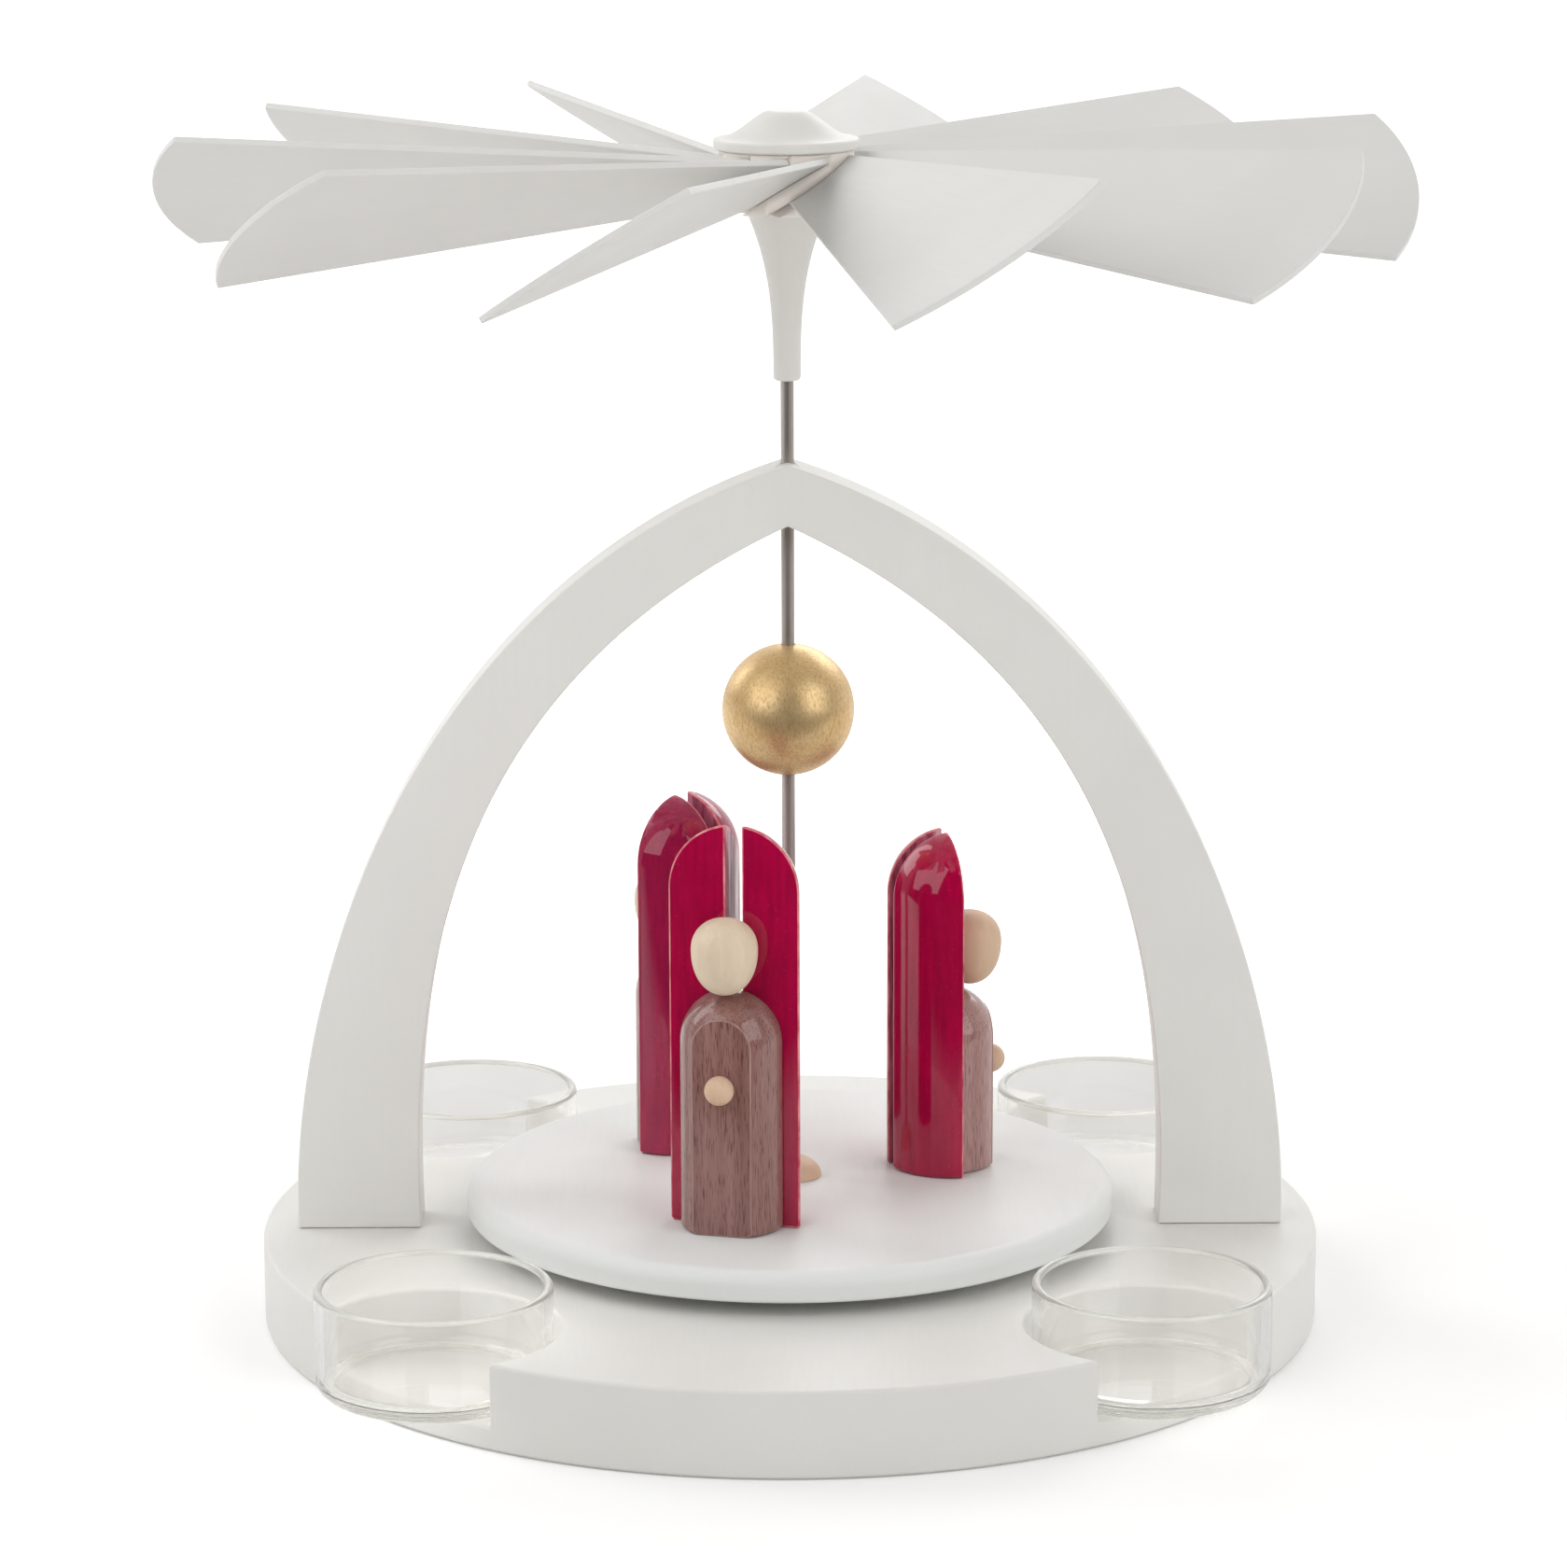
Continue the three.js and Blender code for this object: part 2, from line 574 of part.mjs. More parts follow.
// Cap: a turned hat, whose brim sweeps up in an ogee to a flat top
function fanCap() {
  const under = HUB_TOP + GLUE_LINE;
  const brimTop = under + CAP_BRIM_THICKNESS;
  const brim = CAP_BRIM_RADIUS - CAP_BRIM_EDGE;
  const ogee = Array.from({ length: CAP_STEPS + 1 }, (_, i) => {
    const share = 1 - i / CAP_STEPS;
    const rise = (1 + Math.cos(Math.PI * share ** CAP_SHOULDER)) / 2;
    return [CAP_TOP_RADIUS + (brim - CAP_TOP_RADIUS) * share, brimTop + CAP_RISE * rise];
  });
  return revolve([
    [0, HUB_TOP - SPIGOT_LENGTH],
    [SPIGOT_RADIUS, HUB_TOP - SPIGOT_LENGTH],
    [SPIGOT_RADIUS, under],
    [brim, under],
    [CAP_BRIM_RADIUS, under + CAP_BRIM_EDGE],
    [CAP_BRIM_RADIUS, brimTop - CAP_BRIM_EDGE],
    ...ogee,
    [0, brimTop + CAP_RISE],
  ], TURNED_SIDES);
}

// Tealight glass: a thick-floored cup with a rounded foot and a round rim
function tealightGlass() {
  const inside = GLASS_RADIUS - GLASS_WALL;
  const rim = GLASS_WALL / 2;
  const foot = [GLASS_OUTER_CORNER, GLASS_OUTER_CORNER];
  const well = [GLASS_INNER_CORNER, GLASS_INNER_CORNER];
  const wellCentre = [inside - GLASS_INNER_CORNER, GLASS_FLOOR + GLASS_INNER_CORNER];
  return revolve([
    [0, 0],
    ...arc([GLASS_RADIUS - GLASS_OUTER_CORNER, GLASS_OUTER_CORNER], foot, -90, 0, CORNER_STEPS),
    ...arc([GLASS_RADIUS - rim, GLASS_HEIGHT - rim], [rim, rim], 0, 180, CORNER_STEPS + 1),
    ...arc(wellCentre, well, 0, -90, CORNER_STEPS),
    [0, GLASS_FLOOR],
  ], GLASS_SIDES);
}

// Column with an eased foot and a half-round top, standing on the figure's own ground
function bullet(radius, height, footEdge) {
  return revolve([
    [0, 0],
    [radius - footEdge, 0],
    [radius, footEdge],
    ...arc([0, height - radius], [radius, radius], 0, 90, DOME_STEPS),
  ], TURNED_SIDES);
}

// The figures' parts face +X, with the wings' axis on Z and the turntable at height 0.

// A wing is a quarter of its column, behind the body and to one side of the kerf
function wing(height, side) {
  const reach = WING_RADIUS + CUT_MARGIN;
  const edges = [side * (WING_GAP / 2), side * reach];
  const low = [-reach, Math.min(...edges), -CUT_MARGIN];
  const high = [WING_FRONT, Math.max(...edges), height + CUT_MARGIN];
  return common(bullet(WING_RADIUS, height, WING_FOOT_EDGE), block(low, high));
}

// Body: half a column, cut off flat in front, with a round seat for the hand
function angelBody(height, handHeight) {
  const reach = BODY_RADIUS + CUT_MARGIN;
  const half = block([0, -reach, -CUT_MARGIN], [BODY_DEPTH, reach, height + CUT_MARGIN]);
  const column = common(bullet(BODY_RADIUS, height, BODY_FOOT_EDGE), half);
  const holeTop = FOOT_DOWEL_IN_BODY + HOLE_END_GAP;
  const dowelHole = drill(FOOT_DOWEL_RADIUS + PRESS_CLEARANCE, -CUT_MARGIN, holeTop, DOWEL_SIDES);
  dowelHole.translate(BODY_DEPTH / 2, 0, 0);
  const seat = ball(HAND_RADIUS + GLUE_LINE, HAND_SIDES, DOME_STEPS);
  seat.translate(BODY_DEPTH + HAND_PROUD - HAND_RADIUS, 0, handHeight);
  return cut(column, [dowelHole, seat]).translate(BODY_BACK, 0, 0);
}

// Head: a smooth egg with its narrow end down and a flat back
function angelHead(chinHeight) {
  const point = (share, reach) => {
    const radius = HEAD_RADIUS * (1 - Math.abs(share) ** HEAD_FULLNESS) ** (1 / HEAD_FULLNESS);
    return [radius, chinHeight + HEAD_CHIN + reach * share];
  };
  const slope = (i) => Math.sin((Math.PI / 2) * (i / HEAD_STEPS));
  const profile = [];
  for (let i = HEAD_STEPS; i > 0; i -= 1) {
    profile.push(point(-slope(i), HEAD_CHIN));
  }
  for (let i = 0; i <= HEAD_STEPS; i += 1) {
    profile.push(point(slope(i), HEAD_CROWN));
  }
  const egg = revolve(profile, ROD_SIDES);
  const reach = HEAD_RADIUS + CUT_MARGIN;
  const top = chinHeight + HEAD_CHIN + HEAD_CROWN + CUT_MARGIN;
  const behind = block([-reach, -reach, chinHeight - CUT_MARGIN], [-HEAD_BACK, reach, top]);
  return cut(egg, [behind]).translate(BODY_BACK + HEAD_BACK, 0, 0);
}

// Hand: a round bead in its seat in the body's flat front
function angelHand(handHeight) {
  const bead = ball(HAND_RADIUS, HAND_SIDES, DOME_STEPS);
  return bead.translate(BODY_BACK + BODY_DEPTH + HAND_PROUD - HAND_RADIUS, 0, handHeight);
}

function footDowel() {
  const bottom = -GLUE_LINE - FOOT_DOWEL_IN_TABLE;
  const dowel = rod(FOOT_DOWEL_RADIUS, bottom, FOOT_DOWEL_IN_BODY, DOWEL_SIDES);
  return dowel.translate(BODY_BACK + BODY_DEPTH / 2, 0, 0);
}

function angel({ bodyHeight, handHeight, radius, azimuth, turn, aside }, i) {
  const figure = new THREE.Group();
  const name = `angel_${i + 1}`;
  const wingHeight = bodyHeight + WING_ABOVE_BODY;
  figure.add(mesh(`${name}_wing_left`, wing(wingHeight, 1), RED_LACQUER));
  figure.add(mesh(`${name}_wing_right`, wing(wingHeight, -1), RED_LACQUER));
  const front = [
    mesh(`${name}_body`, angelBody(bodyHeight, handHeight), STAINED_WOOD),
    mesh(`${name}_head`, angelHead(bodyHeight + HEAD_ABOVE_BODY), PALE_WOOD),
    mesh(`${name}_hand`, angelHand(handHeight), PALE_WOOD),
    mesh(`${name}_foot_dowel`, footDowel(), PALE_WOOD),
  ];
  for (const piece of front) {
    piece.geometry.translate(0, aside, 0);
    figure.add(piece);
  }
  figure.rotation.z = THREE.MathUtils.degToRad(azimuth + turn);
  return place(figure, radius, azimuth, TABLE_TOP + GLUE_LINE);
}

function stand() {
  const group = new THREE.Group();
  group.add(mesh('base_plate', basePlate(), WHITE_LACQUER));
  group.add(mesh('arch', arch(), WHITE_LACQUER));
  dowelPlaces().forEach((x, i) => {
    const bottom = BASE_HEIGHT - DOWEL_IN_BASE;
    const dowel = rod(DOWEL_RADIUS, bottom, BASE_HEIGHT + DOWEL_IN_ARCH, DOWEL_SIDES);
    group.add(mesh(`arch_dowel_${i + 1}`, dowel.translate(x, 0, 0), PALE_WOOD));
  });
  group.add(mesh('bearing_cup', bearingCup(), BRASS));
  const bush = tube(BUSH_RADIUS, RUNNING_BORE, BUSH_TOP - BUSH_LENGTH, BUSH_TOP, ROD_SIDES);
  group.add(mesh('arch_bush', bush, BRASS));
  return group;
}

function rotor() {
  const group = new THREE.Group();
  group.add(mesh('shaft', shaft(), STEEL));
  group.add(mesh('turntable', turntable(), WHITE_LACQUER));
  group.add(mesh('turntable_boss', boss(), PALE_WOOD));
  group.add(mesh('gold_ball', goldBall(), GOLD));
  ANGELS.forEach((figure, i) => group.add(angel(figure, i)));
  return group;
}

function fan() {
  const group = new THREE.Group();
  group.add(mesh('fan_neck', fanNeck(), WHITE_LACQUER));
  group.add(mesh('fan_hub', fanHub(), WHITE_LACQUER));
  group.add(mesh('fan_cap', fanCap(), WHITE_LACQUER));
  for (let i = 0; i < BLADE_COUNT; i += 1) {
    const name = `fan_blade_${String(i + 1).padStart(2, '0')}`;
    group.add(mesh(name, fanBlade(bladeAzimuth(i)), WHITE_LACQUER));
  }
  return group;
}

function glasses() {
  const group = new THREE.Group();
  for (let i = 0; i < GLASS_COUNT; i += 1) {
    const glass = mesh(`tealight_glass_${i + 1}`, tealightGlass(), CLEAR_GLASS);
    group.add(place(glass, GLASS_RING_RADIUS, glassAzimuth(i), POCKET_FLOOR + GLASS_SEAT_GAP));
  }
  return group;
}

const pyramid = new THREE.Group();
pyramid.add(stand(), rotor(), fan(), glasses());

export default pyramid;
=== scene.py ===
"""Christmas pyramid: the finished surfaces of every piece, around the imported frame. Metres, +Z up."""
import json
import math

import bmesh
import bpy
from mathutils import Matrix, Vector

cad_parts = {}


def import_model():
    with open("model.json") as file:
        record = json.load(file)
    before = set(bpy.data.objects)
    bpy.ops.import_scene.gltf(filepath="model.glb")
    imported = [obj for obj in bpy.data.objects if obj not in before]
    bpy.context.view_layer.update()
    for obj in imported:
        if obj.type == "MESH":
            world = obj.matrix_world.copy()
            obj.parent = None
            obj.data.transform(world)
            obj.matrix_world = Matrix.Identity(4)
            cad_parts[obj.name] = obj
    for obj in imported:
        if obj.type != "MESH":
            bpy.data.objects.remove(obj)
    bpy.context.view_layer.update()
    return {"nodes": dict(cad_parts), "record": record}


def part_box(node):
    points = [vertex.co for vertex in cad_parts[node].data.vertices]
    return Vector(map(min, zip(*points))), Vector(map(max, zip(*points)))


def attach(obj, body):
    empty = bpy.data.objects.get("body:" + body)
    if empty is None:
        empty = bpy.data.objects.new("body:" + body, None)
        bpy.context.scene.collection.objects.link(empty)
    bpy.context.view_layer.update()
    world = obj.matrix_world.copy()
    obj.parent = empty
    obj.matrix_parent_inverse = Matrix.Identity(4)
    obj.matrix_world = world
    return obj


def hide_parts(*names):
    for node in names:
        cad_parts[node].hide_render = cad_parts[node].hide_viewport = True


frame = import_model()
BODY_OF = {n: body for body, nodes in frame["record"]["behaviour"]["bodies"].items() for n in nodes}

MM = 0.001

# Steps round full circles
BOARD_STEPS = 240
TURNED_STEPS = 96
FIGURE_STEPS = 72
SMALL_STEPS = 32

# Steps along the arcs and curves of profiles and outlines
CORNER_STEPS = 6
ROUNDING_STEPS = 12
BEAD_STEPS = 18
COLUMN_TOP_STEPS = 24
SWEEP_STEPS = 36
BALL_STEPS = 48
ARCH_STEPS = 64
HEAD_STEPS = 20  # on each side of its widest place

GUARD = 0.4 * MM  # strip beside a rounded edge that keeps the flat next to it flat to the eye
GUARD_LIMIT = 0.25  # share of a straight stretch that such a strip stays under
ON_AXIS = 1e-6 * MM  # radius under which a point lies on the axis
CUT_TOLERANCE = 1e-4 * MM
SMOOTH_ANGLE = 32  # degrees between two faces from which their edge stays sharp

# Shaft and the bores round it
SHAFT_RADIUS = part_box("shaft")[1].x
SHAFT_POINT_LENGTH = 2.6 * MM
SHAFT_CHAMFER = 0.4 * MM
BORE_GAP = 0.1 * MM
BORE = SHAFT_RADIUS + BORE_GAP
BALL_BORE_FLAT = 0.2 * MM  # flat ring round each mouth of the ball's bore

# Eased edges
EASE_ANGLE = 40  # degrees between two faces from which their edge is eased
ARCH_EASE_ANGLE = 30
EASE_SEGMENTS = 3
BASE_EDGE = 0.9 * MM
ARCH_EDGE = 0.45 * MM
HUB_EDGE = 0.3 * MM
BLADE_EDGE = 0.3 * MM
WING_EDGE = 0.4 * MM
BODY_EDGE = 0.35 * MM
HEAD_EDGE = 0.3 * MM
RIM_ROUNDING = ((0.1, 0.45), (0.27, 0.36), (0.63, 0.19))  # shares of an easing, inward and outward

# Base plate
POCKET_GAP = 1.6 * MM
GLASS_SEAT_GAP = 0.2 * MM

# Arch: handles of the four curves, as in the sawn board's outline
OUTER_FOOT_LEAN = 1.4 * MM
OUTER_FOOT_HANDLE = 64 * MM
OUTER_APEX_REACH = 80.2 * MM
OUTER_APEX_DROP = 25.2 * MM
INNER_FOOT_LEAN = 2.45 * MM
INNER_FOOT_HANDLE = 64.8 * MM
INNER_APEX_REACH = 73.3 * MM
INNER_APEX_DROP = 34.4 * MM
ARCH_APEX_THICKNESS = 13.8 * MM
ARCH_FOOT_WIDTH = 28.35 * MM
ARCH_HOLE_GAP = 0.3 * MM

# Turntable
TABLE_TOP_ROUNDING = 3.4 * MM
TABLE_LOWER_ROUNDING = 0.8 * MM

# Glasses
GLASS_COUNT = 4
GLASS_WALL = 2 * MM
GLASS_FLOOR = 2.6 * MM
GLASS_OUTER_CORNER = 4 * MM
GLASS_INNER_CORNER = 2.4 * MM

# Fan
NECK_TIP_RADIUS = 3.1 * MM
NECK_TIP_ROUNDING = 0.9 * MM
NECK_FLARE = 2.8
SPIGOT_RADIUS = 4.5 * MM
SPIGOT_LENGTH = 3 * MM
HUB_CORE_RADIUS = 8 * MM
BLADE_COUNT = 10
BLADE_PITCH = math.radians(31.5)
BLADE_THICKNESS = 1.5 * MM
BLADE_CORNER_RADIUS = 132.7 * MM
BLADE_TIP_WIDTH = 52 * MM
BLADE_PLANE_HEIGHT = 4.8 * MM
ROOT_TOP_MARGIN = 1.5 * MM
ROOT_BOTTOM_MARGIN = 3.2 * MM
SLOT_GAP = 0.15 * MM
CAP_BRIM_THICKNESS = 2.4 * MM
CAP_BRIM_EDGE = 0.6 * MM
CAP_BRIM_SWEEP = 80  # degrees of the brim's upper edge that are round
CAP_TOP_RADIUS = 3.7 * MM
CAP_SHOULDER = 0.85

# Figures: place on the turntable, turn from facing straight out, and sideways shift of the body
FIGURES = {
    "angel_1": {"radius": 42 * MM, "azimuth": 252, "turn": 3.3, "aside": -0.5 * MM},
    "angel_2": {"radius": 39.1 * MM, "azimuth": 15.2, "turn": 0.8, "aside": 0},
    "angel_3": {"radius": 39.5 * MM, "azimuth": 131.6, "turn": 5.1, "aside": -0.9 * MM},
}
WING_RADIUS = 15.1 * MM
WING_GAP = 3.8 * MM
WING_ABOVE_BODY = 37.2 * MM
BODY_RADIUS = 11.6 * MM
BODY_DEPTH = 9.7 * MM
FOOT_EDGE = 0.6 * MM
GLUE_LINE = 0.1 * MM
HEAD_RADIUS = 7.4 * MM
HEAD_CROWN = 7 * MM
HEAD_CHIN = 10.3 * MM
HEAD_FULLNESS = 2.15
HEAD_BACK = 6 * MM
HAND_PROUD = 4.9 * MM


# Materials

# Tones, in 8-bit screen values
RED_SPECK = (206, 70, 100)
# Red edges: a rubbed tone, and a pale tone that is wear and painted highlight in one
EDGE_RUBBED, EDGE_BARE_AND_HIGHLIGHT = (196, 58, 84), (240, 156, 158)
# Kerf walls: the pale tone is partly thin lacquer over the grain, partly painted reflection
KERF_DEEP, KERF_BARE_AND_REFLECTION = (130, 20, 58), (206, 118, 146)
STAIN_EDGE_DARK, STAIN_EDGE_LIGHT = (144, 106, 99), (178, 142, 133)
GOLD_DARK, GOLD_LIGHT, GOLD_GRAIN = (219, 185, 131), (236, 206, 156), (184, 147, 90)
STEEL_DARK, STEEL_LIGHT = (178, 170, 165), (204, 196, 191)
BRASS_DARK, BRASS_LIGHT = (170, 138, 70), (204, 174, 104)
# Cream of the glass's thick rim and foot: painted light
GLASS_PAINTED_EDGE_DARK, GLASS_PAINTED_EDGE_LIGHT = (236, 236, 228), (246, 246, 240)
FLECK_DEPTH = (20, 30, 35)  # by which a fleck in pale wood is darker than the wood
PORE_DEPTH = 56  # by which a pore in stained wood is darker than the wood

# Clear glass, linear
GLASS_TINT, GLASS_CLEAR = (0.985, 0.98, 0.97, 1), (0.998, 0.994, 0.986, 1)
GLASS_IOR = 1.48

# Grain of the boards, in features per metre along each axis
FLAT_GRAIN = (1100, 60, 1100)
UPRIGHT_GRAIN = (1100, 1100, 60)
BLADE_GRAIN = (45, 1300, 1300)

NOISE_LOW, NOISE_HIGH = 0.3, 0.7  # between which most of a noise lies


def srgb(r, g, b):
    """Linear colour of 8-bit screen values."""
    def linear(v):
        v = v / 255
        return v / 12.92 if v <= 0.04045 else ((v + 0.055) / 1.055) ** 2.4
    return (linear(r), linear(g), linear(b), 1)


def shades(tone, *shifts):
    """Linear colours of a tone that is made lighter or darker by each shift."""
    return [srgb(*(part + shift for part in tone)) for shift in shifts]


OWN_FRAME = "own_frame"  # mesh attribute: each vertex in the frame that its piece was drawn in


class Nodes:
    """Short ways to add nodes to a tree."""

    def __init__(self, tree):
        self.tree = tree

    def node(self, kind, settings=None, **inputs):
        """Node with its properties from settings and its named sockets, _ for a space, from the rest."""
        made = self.tree.nodes.new(kind)
        for key, value in (settings or {}).items():
            setattr(made, key, value)
        for socket, value in inputs.items():
            self.feed(made.inputs[socket.replace("_", " ")], value)
        return made

    def feed(self, socket, value):
        """Links a socket to an output, or sets its value."""
        if isinstance(value, bpy.types.NodeSocket):
            self.tree.links.new(value, socket)
        else:
            socket.default_value = value

    def combine(self, kind, operation, first, second):
        """Result of a math or vector math node."""
        made = self.node(kind, {"operation": operation})
        self.feed(made.inputs[0], first)
        self.feed(made.inputs[1], second)
        return made.outputs[0]


class Shader(Nodes):
    """A material with one Principled shader, and the textures that feed it."""

    def __init__(self, name, own_frame=False, **values):
        self.own_frame = own_frame
        self.material = bpy.data.materials.new(name)
        self.material.use_nodes = True
        super().__init__(self.material.node_tree)
        self.bsdf = self.tree.nodes["Principled BSDF"]
        for socket, value in values.items():
            self.bsdf.inputs[socket.replace("_", " ")].default_value = value

    def space(self, stretch):
        """Coordinates stretched per axis, shifted by a random amount for each piece."""
        if self.own_frame:
            source = self.node("ShaderNodeAttribute", {"attribute_name": OWN_FRAME})
            coordinates = source.outputs["Vector"]
        else:
            coordinates = self.node("ShaderNodeTexCoord").outputs["Object"]
        chance = self.node("ShaderNodeObjectInfo").outputs["Random"]
        shifted = self.combine("ShaderNodeVectorMath", "ADD", coordinates, chance)
        return self.combine("ShaderNodeVectorMath", "MULTIPLY", shifted, stretch)

    def noise(self, stretch, detail=3, roughness=0.55):
        """Noise with so many features per metre along each axis."""
        made = self.node(
            "ShaderNodeTexNoise", Vector=self.space(stretch), Scale=1, Detail=detail, Roughness=roughness
        )
        return made.outputs["Fac"]

    def ramp(self, factor, *stops):
        """Colour ramp through (position, colour) stops."""
        made = self.node("ShaderNodeValToRGB", Fac=factor)
        elements = made.color_ramp.elements
        while len(elements) < len(stops):
            elements.new(1)
        for element, (position, colour) in zip(elements, stops):
            element.position = position
            element.color = colour
        return made.outputs["Color"]

    def blend(self, factor, dark, light, start=NOISE_LOW, end=NOISE_HIGH):
        """Colour from a dark to a light screen tone."""
        return self.ramp(factor, (start, srgb(*dark)), (end, srgb(*light)))

    def span(self, factor, low, high, start=0, end=1):
        """Factor from start to end, mapped to low to high."""
        made = self.node(
            "ShaderNodeMapRange", Value=factor, From_Min=start, From_Max=end, To_Min=low, To_Max=high
        )
        return made.outputs["Result"]

    def mix(self, factor, first, second):
        """Colour from first to second."""
        made = self.node("ShaderNodeMix", {"data_type": "RGBA"})
        for socket, value in (("Factor", factor), ("A", first), ("B", second)):
            self.feed(made.inputs[socket], value)
        return made.outputs["Result"]

    def colour(self, value):
        self.feed(self.bsdf.inputs["Base Color"], value)
        return self

    def rough(self, value):
        self.feed(self.bsdf.inputs["Roughness"], value)
        return self

    def bump(self, height, depth, strength=1.0):
        """Relief of a height from 0 to 1 that is so many metres deep."""
        made = self.node("ShaderNodeBump", Height=height, Distance=depth, Strength=strength)
        self.feed(self.bsdf.inputs["Normal"], made.outputs["Normal"])
        return self


def white_lacquer(name, grain, tone, own_frame=False, gloss=0.3):
    """Satin white lacquer over fine wood, whose grain still shows a little."""
    s = Shader(name, own_frame, Specular_IOR_Level=gloss)
    fibres = s.noise(grain, detail=4)
    clouds = s.noise((28, 28, 28), detail=2)
    thin, full = shades(tone, -3, 1)
    cloudy = s.ramp(clouds, (NOISE_LOW, thin), (NOISE_HIGH, full))
    s.colour(s.mix(s.span(fibres, 0, 0.5, 0.4, 0.75), cloudy, thin))
    s.rough(s.span(fibres, 0.4, 0.52, NOISE_LOW, NOISE_HIGH))
    return s.bump(fibres, depth=0.03 * MM, strength=0.15).material


def red_lacquer(name, tone):
    """Deep crimson gloss lacquer, a little uneven, with dust specks and the grain sunk into it."""
    s = Shader(name, Specular_IOR_Level=0.05, Coat_Weight=1, Coat_Roughness=0.03, Coat_IOR=1.52)
    fibres = s.noise((900, 900, 90), detail=3)
    specks = s.noise((2200, 2200, 2200), detail=1)
    clouds = s.noise((90, 90, 50), detail=3)
    waves = s.noise((420, 420, 260), detail=2)
    cloud, dark, light = ([part * share for part in tone] for share in (0.8, 0.93, 1.06))
    deep = s.blend(fibres, dark, light, start=0.32)
    uneven = s.mix(s.span(clouds, 0, 0.4, 0.42, 0.66), deep, srgb(*cloud))
    s.colour(s.mix(s.span(specks, 0, 0.45, 0.68, 0.8), uneven, srgb(*RED_SPECK)))
    s.rough(s.span(clouds, 0.25, 0.35, NOISE_LOW, NOISE_HIGH))
    return s.bump(waves, depth=0.02 * MM, strength=0.12).material


def worn_and_highlit_edge():
    """Edges of the red pieces, rubbed through to a pinkish ground, and paler still as a painted
    highlight along the edge.
    """
    s = Shader("worn_red_edge_and_painted_highlight", Specular_IOR_Level=0.35)
    rubbed = s.noise((500, 500, 160), detail=3)
    s.colour(s.blend(rubbed, EDGE_RUBBED, EDGE_BARE_AND_HIGHLIGHT, end=0.62))
    s.rough(s.span(rubbed, 0.3, 0.5))
    return s.bump(rubbed, depth=0.03 * MM, strength=0.3).material


def kerf_lacquer():
    """The saw kerf's walls: lacquer sunk into upright saw lines, glossy at a glance along them; their
    pale streaks are thin lacquer over raised grain and also a painted reflection.
    """
    s = Shader("red_kerf", Specular_IOR_Level=0.2, Coat_Roughness=0.12, Coat_IOR=1.8)
    lines = s.noise((520, 520, 34), detail=4, roughness=0.7)
    s.colour(s.blend(lines, KERF_DEEP, KERF_BARE_AND_REFLECTION, start=0.36, end=0.62))
    s.rough(s.span(lines, 0.35, 0.6))
    s.feed(s.bsdf.inputs["Coat Weight"], s.span(lines, 0.15, 1, 0.4, 0.56))
    return s.bump(lines, depth=0.05 * MM, strength=0.4).material


def stained_wood(name, tone):
    """Beech stained mauve-brown under varnish, with upright grain and dark pores."""
    s = Shader(name, Specular_IOR_Level=0.1, Coat_Weight=0.85, Coat_Roughness=0.05)
    bands = s.noise((420, 420, 10), detail=3)
    pores = s.noise((3900, 3900, 250), detail=2)
    dark, middle, light, pore = shades(tone, -12, 0, 10, -PORE_DEPTH)
    grain = s.ramp(bands, (0.3, dark), (0.52, middle), (0.72, light))
    s.colour(s.mix(s.span(pores, 0, 0.8, 0.53, 0.66), grain, pore))
    s.rough(s.span(bands, 0.3, 0.45))
    return s.bump(pores, depth=-0.05 * MM, strength=0.35).material


def rubbed_stain():
    """Edges of the stained pieces, where the stain is sanded paler."""
    s = Shader("rubbed_stain", Specular_IOR_Level=0.35, Coat_Weight=0.35, Coat_Roughness=0.12)
    fibres = s.noise((900, 900, 90), detail=3)
    s.colour(s.blend(fibres, STAIN_EDGE_DARK, STAIN_EDGE_LIGHT))
    s.rough(s.span(fibres, 0.3, 0.45))
    return s.bump(fibres, depth=0.03 * MM, strength=0.3).material


def pale_wood(name, tone):
    """Natural maple: faint upright grain and fine flecks, satin."""
    s = Shader(name, Specular_IOR_Level=0.3)
    bands = s.noise((520, 520, 14), detail=3)
    flecks = s.noise((2400, 2400, 320), detail=2)
    dark, middle, light = shades(tone, -4, 0, 5)
    grain = s.ramp(bands, (0.3, dark), (0.5, middle), (0.7, light))
    fleck = srgb(*(part - depth for part, depth in zip(tone, FLECK_DEPTH)))
    s.colour(s.mix(s.span(flecks, 0, 0.25, 0.58, 0.74), grain, fleck))
    s.rough(s.span(bands, 0.42, 0.55))
    return s.bump(flecks, depth=0.03 * MM, strength=0.3).material


def gold_paint():
    """Matte gold paint with a fine metallic grain."""
    s = Shader("gold_paint", Metallic=0.65)
    grain = s.noise((2400, 2400, 700), detail=3, roughness=0.7)
    clouds = s.noise((110, 110, 190), detail=3)
    tone = s.blend(clouds, GOLD_DARK, GOLD_LIGHT)
    s.colour(s.mix(s.span(grain, 0, 0.7, 0.47, 0.66), tone, srgb(*GOLD_GRAIN)))
    s.rough(s.span(grain, 0.3, 0.48, NOISE_LOW, NOISE_HIGH))
    return s.bump(grain, depth=0.05 * MM, strength=0.5).material


def drawn_steel():
    """Drawn steel rod with fine lines along it."""
    s = Shader("drawn_steel", Metallic=1)
    lines = s.noise((5200, 5200, 22), detail=2)
    s.colour(s.blend(lines, STEEL_DARK, STEEL_LIGHT))
    s.rough(s.span(lines, 0.46, 0.58))
    return s.bump(lines, depth=0.01 * MM, strength=0.3).material


def turned_brass():
    """Brass with fine turning rings, on the hidden bearings."""
    s = Shader("turned_brass", Metallic=1)
    rings = s.noise((160, 160, 3000), detail=2)
    s.colour(s.blend(rings, BRASS_DARK, BRASS_LIGHT))
    s.rough(s.span(rings, 0.25, 0.4))
    return s.bump(rings, depth=0.02 * MM, strength=0.3).material


